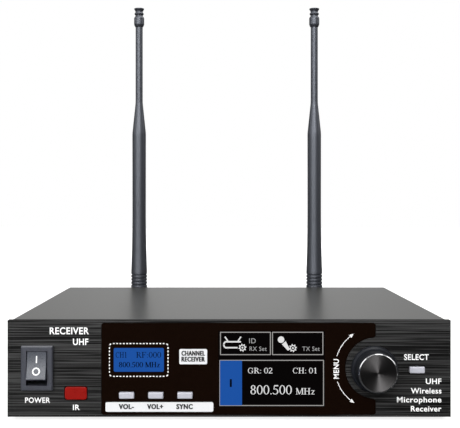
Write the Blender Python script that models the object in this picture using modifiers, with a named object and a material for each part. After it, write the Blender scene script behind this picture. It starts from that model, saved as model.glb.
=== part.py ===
"""Wireless microphone receiver: a half-rack desktop unit with two hinged rod aerials.

Metres, +Z up. The control panel faces -Y and X runs along its width. The origin lies on the
surface that the feet stand on, under the middle of the whole object's box. Most pieces are
children of an empty at the middle of the panel's front plane, so their Y is a depth behind it.
"""

import math

import bmesh
import bpy
from mathutils import Matrix, Vector

# Driving dimensions
GAP = 0.0003  # air left between two separate pieces that touch on the real object
SHEET = 0.001  # steel sheet of the cover and the chassis
PANEL_W, PANEL_H, PANEL_T = 0.210, 0.0457, 0.004
PANEL_Z = 0.002  # the panel's lower edge, above the table
DEPTH = 0.160  # from the panel's front face to the rear wall's outer face
COVER_W, COVER_TOP = 0.208, 0.0477
CHASSIS_W = COVER_W - 2 * (SHEET + GAP)
CHASSIS_Z = 0.0025
REAR_TOP = COVER_TOP - SHEET - GAP
FLANGE_H, FLANGE_GAP_W = 0.012, 0.160
REAR_IN = DEPTH - SHEET  # the rear wall's inner face
REAR_OUT = DEPTH + GAP  # where a connector's flange starts

KNOB_FRONT = 0.0115  # how far the knob's face stands in front of the panel
AERIAL_X, AERIAL_Z = 0.060, 0.027  # a socket's axis
SIDES = (("left", -AERIAL_X), ("right", AERIAL_X))
PIVOT_Y = DEPTH + 0.024  # the aerial's fold axis
EAR_R = 0.0050  # rounded end of the knuckle's ears
WHIP_R = 0.00545  # the aerial rod's foot, the rearmost point
AERIAL_TOP = 0.2364

FRONT_Y = (KNOB_FRONT - (PIVOT_Y + WHIP_R)) / 2  # puts the origin under the middle of the box

# Places on the panel, as (x, z)
SWITCH = (-0.0908, 0.0253)
IR = (-0.0726, 0.0132)
CHANNEL = (-0.0428, 0.0290)
MAIN = (0.0201, 0.02475)
KNOB = (0.0687, 0.0247)
BUTTONS = {
    "vol_down": (-0.0485, 0.0123),
    "vol_up": (-0.0347, 0.0123),
    "sync": (-0.0209, 0.0123),
    "select": (0.0890, 0.0243),
}
# Places on the rear wall, as (x, z)
XLR = (0.022, 0.025)
JACK = (-0.010, 0.025)
DC = (-0.036, 0.0179)

FASCIA_X, FASCIA_Z = (-0.0604, 0.0693), (0.0036, 0.0464)
FASCIA_T, FASCIA_PROUD = 0.001, 0.0002
NOTCH, NOTCH_R = (0.0696, 0.0251), 0.0147  # the round bite out of the fascia, beside the knob

CHANNEL_GLASS, CHANNEL_MODULE, CHANNEL_DEPTH = (0.0250, 0.0123), (0.036, 0.020), 0.0052
MAIN_GLASS, MAIN_MODULE, MAIN_DEPTH = (0.0504, 0.0361), (0.060, 0.0395), 0.0034
GLASS_ROOM = 0.0006  # a display's opening is this much larger than its glass

SWITCH_W, SWITCH_H, SWITCH_PROUD = 0.0150, 0.0210, 0.0021  # the power switch's bezel
SWITCH_BODY_W, SWITCH_BODY_H, SWITCH_BODY_Y = 0.0130, 0.0192, 0.014
BLADE_W, BLADE_T, BLADE_Z, BLADE_Y = 0.0048, 0.0008, 0.005, 0.021
POCKET_W, POCKET_H, POCKET_Y = 0.0100, 0.0163, 0.009
ROCKER_W, ROCKER_HALF, ROCKER_FACE, ROCKER_DISH = 0.0093, 0.0066, 0.0074, 0.0004
ROCKER_PIVOT_Y, ROCKER_TILT = 0.004, math.radians(12)
AXLE_R, AXLE_REACH = 0.0012, 0.0058

IR_W, IR_H, IR_LIP, IR_PROUD = 0.0108, 0.00635, 0.0012, 0.0003
LAMP_R, LAMP_RIM_R, LAMP_TIP_Y = 0.0025, 0.0029, 0.0060
CAP_W, CAP_H, CAP_LIP, CAP_PROUD = 0.0072, 0.0031, 0.0010, 0.0013
STEM_R, STEM_Y, BUTTON_TRAVEL = 0.0016, 0.0094, 0.0005
TACT_HALF, TACT_Y = 0.0031, 0.0082

SHAFT_R, BUSH_R, THREAD_R = 0.003, 0.0035, 0.0045
SKIRT_R, SKIRT_Y, SKIRT_HOLLOW_R = 0.0110, -0.0005, 0.0076
KNOB_RIM_Y, KNOB_FLOOR_Y, KNOB_FACE_R = -0.0113, -0.0106, 0.0082
LIP_T = 0.001  # lip behind the panel of a key and of the infrared window
BUSH_Y, ENCODER_Y, ENCODER_W, ENCODER_H = -0.0022, 0.0052, 0.012, 0.0132

BOARD_T = 0.0016
FRONT_BOARD_Y = 0.012
FRONT_BOARD_X, FRONT_BOARD_Z = (-0.0795, 0.097), (0.0046, 0.0456)
MAIN_BOARD_X, MAIN_BOARD_Y = (-0.096, 0.096), (0.026, 0.152)
MAIN_BOARD_Z = 0.0095
BOARD_TOP = MAIN_BOARD_Z + BOARD_T + GAP  # where a piece on the main board starts
SHIELD_HALF_W, SHIELD_Y, SHIELD_H, SHIELD_T = 0.019, (0.104, 0.136), 0.008, 0.0005
STANDOFF_X, STANDOFF_YS, STANDOFF_R = 0.088, (0.034, 0.120), 0.0025
CABLE_W, CABLE_T = 0.024, 0.001
COAX_R, LEAD_R = 0.0009, 0.0014

FOOT_R, FOOT_X, FOOT_YS = 0.006, 0.085, {"front": 0.024, "rear": 0.142}
SCREW_YS, SCREW_Z = {"front": 0.030, "rear": 0.130}, CHASSIS_Z + 0.006
SCREW_R, SCREW_REACH, HEAD_R, HEAD_H = 0.00145, 0.005, 0.0028, 0.0017

XLR_FLANGE, XLR_FLANGE_T, XLR_BORE_R, XLR_CUP_R = (0.026, 0.031), 0.002, 0.0082, 0.0117
XLR_START, XLR_FLOOR, XLR_PIN_END = 0.1395, 0.1430, 0.1585
XLR_PIN_R, XLR_PIN_CIRCLE_R, XLR_INSERT_T = 0.00115, 0.0038, 0.003
XLR_SCREWS = ((-0.0095, 0.012), (0.0095, -0.012))
XLR_SCREW_R, XLR_HEAD_R, XLR_HOLE_R, XLR_SINK = 0.0014, 0.0027, 0.0017, 0.0013
JACK_HALF_W, JACK_BODY_Z, JACK_START = 0.008, (0.0114, 0.0345), 0.134
JACK_BORE_R, JACK_BORE_END, JACK_END, JACK_NUT_R, JACK_NUT_T = 0.00325, 0.138, 0.1645, 0.007, 0.0022
DC_R, DC_BOTTOM, DC_START, DC_END = 0.0045, 0.0114, 0.1455, 0.1615
DC_BORE_R, DC_BORE_END, DC_PIN_R, DC_PIN_END = 0.00285, 0.150, 0.0010, 0.1600

# An aerial's parts from the rear wall back, all on the socket's axis
BNC_R, NECK_R, BODY_R, PLUG_R, PLUG_BORE_R = 0.0048, 0.0040, 0.0070, 0.0039, 0.0027
FLANGE_END, BARREL_END, LUG_Y, LUG_R = 0.1623, 0.1723, 0.1679, 0.001
RING_START, RING_END, RING_R, RING_BORE_R, GROOVE_R = 0.1630, 0.1758, 0.0072, 0.0051, 0.0061
GROOVE_Y = (0.1662, 0.1696)
LIP_R, LIP_Y = 0.0043, 0.1743  # the ring's inner lip at its rear end, round the plug's neck
KNUCKLE_FLOOR, EAR_X, TONGUE_GAP_X, TONGUE_X = 0.1784, 0.0048, 0.0026, 0.0023
PIN_R, PIN_HEAD_R, PIN_HEAD_T = 0.0013, 0.0024, 0.0009
FOOT_Z, CAP_Z, STEM_TOP_R = 0.0346, 0.2235, 0.00242
GROOVES, GROOVE_DEPTH_R, RIB_R = (0.0498, 0.0519, 0.0543), 0.0045, 0.0054
SOCKET_HEX_R, SOCKET_NUT_R, NUT_Y = 0.0076, 0.0075, (0.1562, REAR_IN - GAP)
SOCKET_PIN_END, LUG_REACH = 0.1407, 0.0057
PAST = 0.002  # how far a cutter runs past the face it cuts
CLEAR = 0.010  # how far a cutter runs where nothing else is near


# Scene, materials and collections
def clear_scene():
    for obj in list(bpy.data.objects):
        bpy.data.objects.remove(obj)


def new_collection(name):
    collection = bpy.data.collections.new(name)
    bpy.context.scene.collection.children.link(collection)
    return collection


def material(name, colour, roughness, metallic=0.0):
    made = bpy.data.materials.new(name)
    made.use_nodes = True
    shader = made.node_tree.nodes["Principled BSDF"]
    shader.inputs["Base Color"].default_value = (*colour, 1.0)
    shader.inputs["Roughness"].default_value = roughness
    shader.inputs["Metallic"].default_value = metallic
    made.diffuse_color = (*colour, 1.0)
    return made


clear_scene()
PARTS = new_collection("wireless_receiver")
TOOLS = new_collection("cutters_and_joins")
DATUM = bpy.data.objects.new("panel_front_plane", None)
DATUM.location = (0, FRONT_Y, 0)
PARTS.objects.link(DATUM)

BRUSHED = material("brushed_black_aluminium", (0.030, 0.030, 0.030), 0.38, 0.9)
PAINT = material("black_painted_steel", (0.035, 0.035, 0.035), 0.35)
ACRYLIC = material("black_acrylic", (0.006, 0.003, 0.002), 0.08)
BLACK = material("black_plastic", (0.045, 0.048, 0.055), 0.45)
GREY = material("light_grey_plastic", (0.55, 0.55, 0.62), 0.35)
RED = material("red_filter", (0.30, 0.010, 0.006), 0.15)
BLUE = material("display_glass", (0.011, 0.078, 0.34), 0.10)
RUBBER = material("aerial_rubber", (0.075, 0.080, 0.092), 0.50)
FOOT = material("foot_rubber", (0.02, 0.02, 0.02), 0.80)
STEEL = material("zinc_plated_steel", (0.60, 0.60, 0.58), 0.30, 1.0)
NICKEL = material("nickel_plated_brass", (0.66, 0.64, 0.60), 0.22, 1.0)
SPUN = material("spun_black_aluminium", (0.09, 0.09, 0.095), 0.30, 1.0)
BOARD = material("green_circuit_board", (0.010, 0.10, 0.035), 0.40)
WIRE = material("grey_cable_jacket", (0.30, 0.30, 0.31), 0.50)


# Shapes
def add(name, mesh, origin, colour, parent=DATUM):
    """One sub-part, or a tool when it has no material, with its origin at a point of the datum."""
    obj = bpy.data.objects.new(name, mesh)
    obj.location = origin
    obj.parent = parent
    if colour is None:
        TOOLS.objects.link(obj)
        obj.hide_render = True
        obj.display_type = "WIRE"
    else:
        PARTS.objects.link(obj)
        mesh.materials.append(colour)
    return obj


def mesh_from(name, bm, smooth=False):
    mesh = bpy.data.meshes.new(name)
    bm.to_mesh(mesh)
    bm.free()
    if smooth:
        mesh.shade_smooth()
        mesh.set_sharp_from_angle(angle=math.radians(35))
    return mesh


def block(name, low, high, colour=None, origin=None, bevel=0.0, segments=1):
    """A box from its lowest to its highest corner, its edges rounded."""
    low, high = Vector(low), Vector(high)
    centre = (low + high) / 2
    origin = centre if origin is None else Vector(origin)
    bm = bmesh.new()
    bmesh.ops.create_cube(bm, size=1.0)
    bmesh.ops.scale(bm, vec=high - low, verts=bm.verts)
    bmesh.ops.translate(bm, vec=centre - origin, verts=bm.verts)
    obj = add(name, mesh_from(name, bm), origin, colour)
    if bevel:
        round_edges(obj, bevel, segments)
    return obj


def round_edges(obj, width, segments=1):
    modifier = obj.modifiers.new("rounded_edges", "BEVEL")
    modifier.width = width
    modifier.segments = segments
    modifier.limit_method = "ANGLE"
    modifier.angle_limit = math.radians(40)


def rod(name, start, end, radius, colour=None, segments=24, origin=None):
    """A round bar between two points; with 6 segments it is a hexagon of that corner radius."""
    start, end = Vector(start), Vector(end)
    centre = (start + end) / 2
    origin = centre if origin is None else Vector(origin)
    turn = (end - start).to_track_quat("Z", "Y").to_matrix().to_4x4()
    bm = bmesh.new()
    bmesh.ops.create_cone(
        bm,
        cap_ends=True,
        segments=segments,
        radius1=radius,
        radius2=radius,
        depth=(end - start).length,
        matrix=Matrix.Translation(centre - origin) @ turn,
    )
    return add(name, mesh_from(name, bm, smooth=segments > 6), origin, colour)


def turned(name, profile, origin, axis="Y", colour=None, segments=24, ring=False):
    """A turned piece. The profile is (radius, distance along the axis) from its far end back
    to its near end down the outer side, and then up the bore when it is a ring."""
    bm = bmesh.new()
    points = [bm.verts.new((r, 0, along)) for r, along in profile]
    for first, second in zip(points, points[1:]):
        bm.edges.new((first, second))
    if ring:
        bm.edges.new((points[-1], points[0]))
    obj = add(name, mesh_from(name, bm), origin, colour)
    obj.rotation_euler = {"Y": (-math.pi / 2, 0, 0), "X": (0, math.pi / 2, 0), "Z": (0, 0, 0)}[axis]
    screw = obj.modifiers.new("turning", "SCREW")
    screw.steps = screw.render_steps = segments
    screw.use_merge_vertices = True
    screw.merge_threshold = 1e-6
    screw.use_smooth_shade = False
    return obj


def prism(name, outlines, start, end, colour=None, axis="Y", origin=(0, 0, 0)):
    """A flat outline, with any holes, drawn in (x, z) and extruded along Y, or in (y, z)
    along X. Outlines are relative to the origin, and so are the two ends."""
    curve = bpy.data.curves.new(name, "CURVE")
    curve.dimensions = "2D"
    curve.fill_mode = "BOTH"
    curve.extrude = (end - start) / 2
    for outline in outlines:
        spline = curve.splines.new("POLY")
        spline.points.add(len(outline) - 1)
        spline.use_cyclic_u = True
        for point, (a, b) in zip(spline.points, outline):
            point.co = (a, b, 0, 1)
    drawn = bpy.data.objects.new(name + "_outline", curve)
    TOOLS.objects.link(drawn)
    mesh = bpy.data.meshes.new_from_object(drawn.evaluated_get(bpy.context.evaluated_depsgraph_get()))
    bpy.data.objects.remove(drawn)
    mesh.materials.clear()
    if axis == "Y":
        turn = Matrix(((1, 0, 0, 0), (0, 0, -1, (start + end) / 2), (0, 1, 0, 0), (0, 0, 0, 1)))
    else:
        turn = Matrix(((0, 0, 1, (start + end) / 2), (1, 0, 0, 0), (0, 1, 0, 0), (0, 0, 0, 1)))
    bm = bmesh.new()
    bm.from_mesh(mesh)
    bmesh.ops.remove_doubles(bm, verts=bm.verts, dist=1e-6)
    bmesh.ops.transform(bm, matrix=turn, verts=bm.verts)
    bmesh.ops.recalc_face_normals(bm, faces=bm.faces)
    return add(name, mesh_from(name, bm), origin, colour)


def lead(name, points, radius, colour):
    """A round cable through the points, its caps closed."""
    curve = bpy.data.curves.new(name, "CURVE")
    curve.dimensions = "3D"
    curve.bevel_depth = radius
    curve.bevel_resolution = 2
    curve.use_fill_caps = True
    spline = curve.splines.new("POLY")
    spline.points.add(len(points) - 1)
    for point, place in zip(spline.points, points):
        point.co = (*place, 1)
    curve.materials.append(colour)
    obj = bpy.data.objects.new(name, curve)
    obj.parent = DATUM
    PARTS.objects.link(obj)
    return obj


def boolean(obj, operation, others):
    for other in others:
        modifier = obj.modifiers.new(f"{operation.lower()}_{other.name}", "BOOLEAN")
        modifier.operation = operation
        modifier.object = other


def cut(obj, *tools):
    boolean(obj, "DIFFERENCE", tools)
    return obj


def fuse(obj, *others):
    boolean(obj, "UNION", others)
    return obj


def arc(centre, radius, start, end, steps):
    """Points on an arc from one angle to another, in degrees."""
    angles = [math.radians(start + (end - start) * i / steps) for i in range(steps + 1)]
    return [(centre[0] + radius * math.cos(a), centre[1] + radius * math.sin(a)) for a in angles]


def round_rect(centre, width, height, radius, steps=3):
    """The outline of a rounded rectangle, counter-clockwise."""
    x, z = width / 2 - radius, height / 2 - radius
    corners = ((x, z, 0), (-x, z, 90), (-x, -z, 180), (x, -z, 270))
    return [
        point
        for dx, dz, start in corners
        for point in arc((centre[0] + dx, centre[1] + dz), radius, start, start + 90, steps)
    ]


def fascia_outline(grow=0.0):
    """The acrylic fascia's outline: a rounded plate with a round bite for the knob."""
    corner = 0.001 + grow
    left, right = FASCIA_X[0] - grow, FASCIA_X[1] + grow
    bottom, top = FASCIA_Z[0] - grow, FASCIA_Z[1] + grow
    bite = NOTCH_R - grow
    reach = math.degrees(math.acos((right - NOTCH[0]) / bite))
    return [
        *arc((left + corner, bottom + corner), corner, 180, 270, 3),
        *arc((right - corner, bottom + corner), corner, 270, 360, 3),
        *arc(NOTCH, bite, 360 - reach, reach, 20),
        *arc((right - corner, top - corner), corner, 0, 90, 3),
        *arc((left + corner, top - corner), corner, 90, 180, 3),
    ]


def through(name, centre, width, height, start=-PAST, end=PANEL_T + PAST, **looks):
    """A block round an (x, z) centre along the depth, by default a cutter through the panel."""
    x, z = centre
    low, high = (x - width / 2, start, z - height / 2), (x + width / 2, end, z + height / 2)
    return block(name, low, high, **looks)


def axial(name, centre, start, end, radius, **looks):
    """A round bar along the depth through an (x, z) centre."""
    x, z = centre
    return rod(name, (x, start, z), (x, end, z), radius, **looks)


def crosswise(name, centre, reach, radius, **looks):
    """A round bar along X, to both sides of a point."""
    x, y, z = centre
    return rod(name, (x - reach, y, z), (x + reach, y, z), radius, **looks)


# Casing
def front_panel():
    low, high = (-PANEL_W / 2, 0, PANEL_Z), (PANEL_W / 2, PANEL_T, PANEL_Z + PANEL_H)
    panel = block("front_panel", low, high, BRUSHED, bevel=0.0003)
    recess_depth = FASCIA_T - FASCIA_PROUD + GAP
    tools = [
        prism("fascia_recess", [fascia_outline(GAP)], -PAST, recess_depth),
        through("switch_opening", SWITCH, SWITCH_BODY_W + 2 * GAP, SWITCH_BODY_H + 2 * GAP),
        through("ir_opening", IR, IR_W + 2 * GAP, IR_H + 2 * GAP),
        through("channel_opening", CHANNEL, *[side + GLASS_ROOM for side in CHANNEL_GLASS]),
        through("main_opening", MAIN, *[side + GLASS_ROOM for side in MAIN_GLASS]),
        axial("encoder_hole", KNOB, -PAST, PANEL_T + PAST, BUSH_R + GAP),
    ]
    tools += [
        through(f"{name}_panel_slot", place, CAP_W + 2 * GAP, CAP_H + 2 * GAP)
        for name, place in BUTTONS.items()
    ]
    cut(panel, *tools)


def fascia_lens():
    lens = prism("fascia_lens", [fascia_outline()], -FASCIA_PROUD, FASCIA_T - FASCIA_PROUD, ACRYLIC)
    for name, place in BUTTONS.items():
        if place[0] < FASCIA_X[1]:
            cut(lens, through(f"{name}_lens_slot", place, CAP_W + 2 * GAP, CAP_H + 2 * GAP))


def folded_sheet(name, low, high, open_sides, colour=PAINT, thickness=SHEET, fold_radius=0.0):
    """A box of sheet metal with some of its sides left open, its thickness inside the box."""
    low, high = Vector(low), Vector(high)
    bm = bmesh.new()
    bmesh.ops.create_cube(bm, size=1.0)
    bmesh.ops.scale(bm, vec=high - low, verts=bm.verts)
    bmesh.ops.translate(bm, vec=(low + high) / 2, verts=bm.verts)
    gone = [f for f in bm.faces if any(f.normal.dot(Vector(side)) > 0.9 for side in open_sides)]
    bmesh.ops.delete(bm, geom=gone, context="FACES")
    obj = add(name, mesh_from(name, bm), (0, 0, 0), colour)
    if fold_radius:
        round_edges(obj, fold_radius, 3)
    solid = obj.modifiers.new("sheet", "SOLIDIFY")
    solid.thickness = thickness
    solid.offset = -1
    solid.use_even_offset = True
    return obj


def side_screw_holes(prefix):
    return [
        crosswise(f"{prefix}_hole_{end}", (0, y, SCREW_Z), COVER_W, SCREW_R + GAP, segments=16)
        for end, y in SCREW_YS.items()
    ]


def top_cover():
    low, high = (-COVER_W / 2, PANEL_T + GAP, 0.003), (COVER_W / 2, DEPTH, COVER_TOP)
    cover = folded_sheet("top_cover", low, high, [(0, 0, -1), (0, -1, 0), (0, 1, 0)], fold_radius=0.0012)
    cut(cover, *side_screw_holes("cover"))


def chassis():
    start, inner = PANEL_T + GAP, CHASSIS_Z + SHEET
    half, rear = CHASSIS_W / 2, REAR_IN + SHEET / 2
    low, high = (-half, start, CHASSIS_Z), (half, rear, CHASSIS_Z + FLANGE_H)
    tray = folded_sheet("chassis", low, high, [(0, 0, 1), (0, 1, 0)])
    rear_wall = block("rear_wall", (-half, REAR_IN, CHASSIS_Z), (half, DEPTH, REAR_TOP))
    foot, head = CHASSIS_Z + SHEET / 2, MAIN_BOARD_Z - GAP
    posts = [
        rod(f"standoff_{x:+.3f}_{y:.3f}", (x, y, foot), (x, y, head), STANDOFF_R, segments=8)
        for x in (-STANDOFF_X, STANDOFF_X)
        for y in STANDOFF_YS
    ]
    gap_x = FLANGE_GAP_W / 2
    holes = [
        block("front_flange_gap", (-gap_x, start - PAST, inner), (gap_x, start + PAST, inner + FLANGE_H)),
        rear_hole("xlr_hole", XLR, XLR_CUP_R + GAP),
        rear_hole("jack_hole", JACK, THREAD_R + GAP),
        rear_hole("dc_hole", DC, DC_R + GAP),
        *[rear_hole(f"aerial_hole_{side}", (x, AERIAL_Z), BNC_R + GAP) for side, x in SIDES],
        *[rear_hole(f"xlr_screw_hole_{i}", place, XLR_HOLE_R) for i, place in enumerate(xlr_screw_places())],
    ]
    fuse(tray, rear_wall, *posts)
    cut(tray, *holes, *side_screw_holes("chassis"))


def rear_hole(name, place, radius):
    return axial(name, place, REAR_IN - PAST, DEPTH + PAST, radius)


def xlr_screw_places():
    return [(XLR[0] + x, XLR[1] + z) for x, z in XLR_SCREWS]


def feet():
    top, rim, chamfer = CHASSIS_Z - GAP, 0.0006, 0.0008
    profile = [(0, top), (FOOT_R, top), (FOOT_R, rim), (FOOT_R - chamfer, 0), (0, 0)]
    for side, x in (("left", -FOOT_X), ("right", FOOT_X)):
        for end, y in FOOT_YS.items():
            turned(f"foot_{end}_{side}", profile, (x, y, 0), "Z", FOOT, segments=20)


def cover_screws():
    """Pan-head screws that hold the cover to the chassis's side flanges."""
    profile = [
        (0, HEAD_H),
        (HEAD_R * 0.65, HEAD_H),
        (HEAD_R, HEAD_H * 0.45),
        (HEAD_R, 0),
        (SCREW_R, 0),
        (SCREW_R, -SCREW_REACH),
        (0, -SCREW_REACH),
    ]
    face = COVER_W / 2 + GAP
    for side, sign in (("left", -1), ("right", 1)):
        for end, y in SCREW_YS.items():
            name, place = f"cover_screw_{end}_{side}", (sign * face, y, SCREW_Z)
            screw = turned(name, profile, place, "X", STEEL, segments=16)
            screw.rotation_euler = (0, sign * math.pi / 2, 0)


# Front controls
def switch_housing():
    x, z = SWITCH
    lap = 0.0005  # how far fused blocks run into each other
    housing = through(
        "switch_housing", SWITCH, SWITCH_W, SWITCH_H, -SWITCH_PROUD, -GAP, colour=BLACK, bevel=0.0005
    )
    body = through("switch_body", SWITCH, SWITCH_BODY_W, SWITCH_BODY_H, -GAP - lap, SWITCH_BODY_Y)
    blades = [
        through(f"blade_{sign:+d}", (x, z + sign * BLADE_Z), BLADE_W, BLADE_T, SWITCH_BODY_Y - lap, BLADE_Y)
        for sign in (-1, 1)
    ]
    pocket = through("switch_pocket", SWITCH, POCKET_W, POCKET_H, -SWITCH_PROUD - PAST, POCKET_Y)
    seat = crosswise("axle_seat", (x, ROCKER_PIVOT_Y, z), AXLE_REACH + GAP, AXLE_R + GAP, segments=16)
    fuse(housing, body, *blades)
    cut(housing, pocket, seat)


def power_rocker():
    """A see-saw button on two stub axles, drawn level and then tilted to its ON position."""
    origin = (SWITCH[0], ROCKER_PIVOT_Y, SWITCH[1])
    spread = [i / 4 for i in range(-4, 5)]
    front = [(-ROCKER_FACE + ROCKER_DISH * (1 - t**2), ROCKER_HALF * t) for t in spread]
    back = [(0.001, 0.0072), (0.0024, 0.0050), (0.0024, -0.0050), (0.001, -0.0072)]
    rocker = prism("power_rocker", [front + back], -ROCKER_W / 2, ROCKER_W / 2, BLACK, "X", origin)
    fuse(rocker, crosswise("rocker_axles", origin, AXLE_REACH, AXLE_R, segments=12))
    rocker.rotation_euler = (-ROCKER_TILT, 0, 0)


def ir_window():
    window = prism("ir_window", [round_rect(IR, IR_W, IR_H, 0.0012)], -IR_PROUD, PANEL_T + 0.001, RED)
    start = PANEL_T + GAP
    flange = through("ir_flange", IR, IR_W + 2 * IR_LIP, IR_H + 2 * IR_LIP, start, start + LIP_T)
    fuse(window, flange)


def ir_emitter():
    """The infrared lamp that sends the channel to a handset, seen through the red window."""
    base = FRONT_BOARD_Y - GAP
    rim = base - LIP_T
    dome = [(x, LAMP_TIP_Y + LAMP_R - y) for x, y in arc((0, 0), LAMP_R, 0, 90, 4)][:-1]
    profile = [(0, base), (LAMP_RIM_R, base), (LAMP_RIM_R, rim), (LAMP_R, rim), *dome, (0, LAMP_TIP_Y)]
    turned("ir_emitter", profile, (IR[0], 0, IR[1]), "Y", GREY, segments=16)


def display(name, centre, glass, module, depth):
    """A display module behind the panel; its glass stands forward into the panel's opening."""
    start, back, lap = FASCIA_T - FASCIA_PROUD + GAP, PANEL_T + GAP, 0.0005
    screen = through(name, centre, *glass, start, back + lap, colour=BLUE)
    fuse(screen, through(f"{name}_module", centre, *module, back, back + depth))


def button(name, place):
    """A key cap with a lip behind the panel and a stem that goes into its switch."""
    start, lap = PANEL_T + GAP, 0.0004
    end = start + LIP_T
    cap = through(
        f"{name}_button", place, CAP_W, CAP_H, -CAP_PROUD, start + lap, colour=GREY, bevel=0.0004
    )
    rim = through(f"{name}_lip", place, CAP_W + 2 * CAP_LIP, CAP_H + 2 * CAP_LIP, start, end)
    stem = axial(f"{name}_stem", place, end - lap, STEM_Y, STEM_R, segments=12)
    fuse(cap, rim, stem)


def tactile_switch(name, place):
    """The switch body on the front board, bored for its key's stem."""
    room = 0.0004  # air round the stem, and past its end at full travel
    end = FRONT_BOARD_Y - GAP
    body = through(f"{name}_switch", place, 2 * TACT_HALF, 2 * TACT_HALF, TACT_Y, end, colour=BLACK)
    bore_end = STEM_Y + BUTTON_TRAVEL + room
    cut(body, axial(f"{name}_bore", place, TACT_Y - PAST, bore_end, STEM_R + room, segments=12))


def knob():
    """A turned knob with a flared skirt, hollow behind, and a raised rim round its face."""
    bore_r, bore_end, hollow_end = SHAFT_R + 0.0002, -0.0094, -0.0045
    profile = [
        (0, bore_end),
        (bore_r, bore_end),
        (bore_r, hollow_end),
        (SKIRT_HOLLOW_R, hollow_end),
        (SKIRT_HOLLOW_R, SKIRT_Y),
        (SKIRT_R, SKIRT_Y),
        (SKIRT_R, SKIRT_Y - 0.0015),
        (SKIRT_R - 0.0004, SKIRT_Y - 0.0021),
        (SKIRT_R - 0.0012, SKIRT_Y - 0.0025),
        (SKIRT_R - 0.0016, KNOB_RIM_Y + 0.0006),
        (SKIRT_R - 0.0021, KNOB_RIM_Y),
        (KNOB_FACE_R + GAP, KNOB_RIM_Y),
        (KNOB_FACE_R + GAP, KNOB_FLOOR_Y),
        (0, KNOB_FLOOR_Y),
    ]
    turned("knob", profile, (KNOB[0], 0, KNOB[1]), "Y", BLACK, segments=40)
    seat = KNOB_FLOOR_Y - GAP
    face = [(0, seat), (KNOB_FACE_R, seat), (KNOB_FACE_R, -KNOB_FRONT), (0, -KNOB_FRONT)]
    turned("knob_face", face, (KNOB[0], 0, KNOB[1]), "Y", SPUN, segments=40)


def encoder():
    """Rotary encoder: its body is on the front board, its bush goes through the panel."""
    bore_r, bore_end, shaft = SHAFT_R + 0.0002, 0.0096, (-0.0091, 0.0092)
    end = FRONT_BOARD_Y - GAP
    body = through("encoder_body", KNOB, ENCODER_W, ENCODER_H, ENCODER_Y, end, colour=STEEL)
    fuse(body, axial("encoder_bush", KNOB, BUSH_Y, ENCODER_Y + 0.0004, BUSH_R))
    cut(body, axial("encoder_bore", KNOB, BUSH_Y - PAST, bore_end, bore_r))
    axial("encoder_shaft", KNOB, *shaft, SHAFT_R, colour=STEEL, origin=(KNOB[0], 0, KNOB[1]))
    nut = axial("encoder_nut", KNOB, -0.0020, -GAP, 0.0056, colour=STEEL, segments=6)
    cut(nut, axial("encoder_nut_bore", KNOB, -2 * PAST, PAST, BUSH_R + GAP))


# Inside
def boards():
    def board(name, x, y, z):
        block(name, (x[0], y[0], z[0]), (x[1], y[1], z[1]), BOARD)

    board("front_board", FRONT_BOARD_X, (FRONT_BOARD_Y, FRONT_BOARD_Y + BOARD_T), FRONT_BOARD_Z)
    board("main_board", MAIN_BOARD_X, MAIN_BOARD_Y, (MAIN_BOARD_Z, MAIN_BOARD_Z + BOARD_T))
    for side, x in SIDES:
        low = (x - SHIELD_HALF_W, SHIELD_Y[0], BOARD_TOP)
        high = (x + SHIELD_HALF_W, SHIELD_Y[1], BOARD_TOP + SHIELD_H)
        folded_sheet(f"rf_shield_{side}", low, high, [(0, 0, -1)], STEEL, SHIELD_T)


def ribbon_cable():
    """Flat cable from the front board's back to the main board."""
    start, height, radius, landing_y = FRONT_BOARD_Y + BOARD_T + GAP, 0.0215, 0.006, 0.0350
    bend = arc((landing_y - radius, height - radius), radius, 90, 0, 6)
    path = [(start, height), (0.0220, height), *bend, (landing_y, BOARD_TOP)]
    upper, lower = [], []
    for i, (y, z) in enumerate(path):
        before, after = path[max(i - 1, 0)], path[min(i + 1, len(path) - 1)]
        along = Vector((after[0] - before[0], after[1] - before[1])).normalized() * (CABLE_T / 2)
        upper.append((y - along.y, z + along.x))
        lower.append((y + along.y, z - along.x))
    prism("ribbon_cable", [upper + lower[::-1]], -CABLE_W / 2, CABLE_W / 2, WIRE, "X")


def internal_leads():
    """A coaxial lead from each aerial socket to its shield, and the switch's lead to the board."""
    socket_end, shield_top, radius = SOCKET_PIN_END - GAP, BOARD_TOP + SHIELD_H + GAP, 0.0050
    corner_y = 0.1346
    for side, x in SIDES:
        down = [(x, y, z) for y, z in arc((corner_y, AERIAL_Z - radius), radius, 90, 180, 6)]
        path = [(x, socket_end, AERIAL_Z), *down, (x, corner_y - radius, shield_top)]
        lead(f"aerial_lead_{side}", path, COAX_R, BLACK)
    x, start, z, radius, corner_y = SWITCH[0], BLADE_Y + GAP, SWITCH[1] - BLADE_Z, 0.008, 0.0250
    bend = [(x, y, height) for y, height in arc((corner_y, z - radius), radius, 90, 0, 6)]
    lead("switch_lead", [(x, start, z), *bend, (x, corner_y + radius, BOARD_TOP)], LEAD_R, RED)


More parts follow.
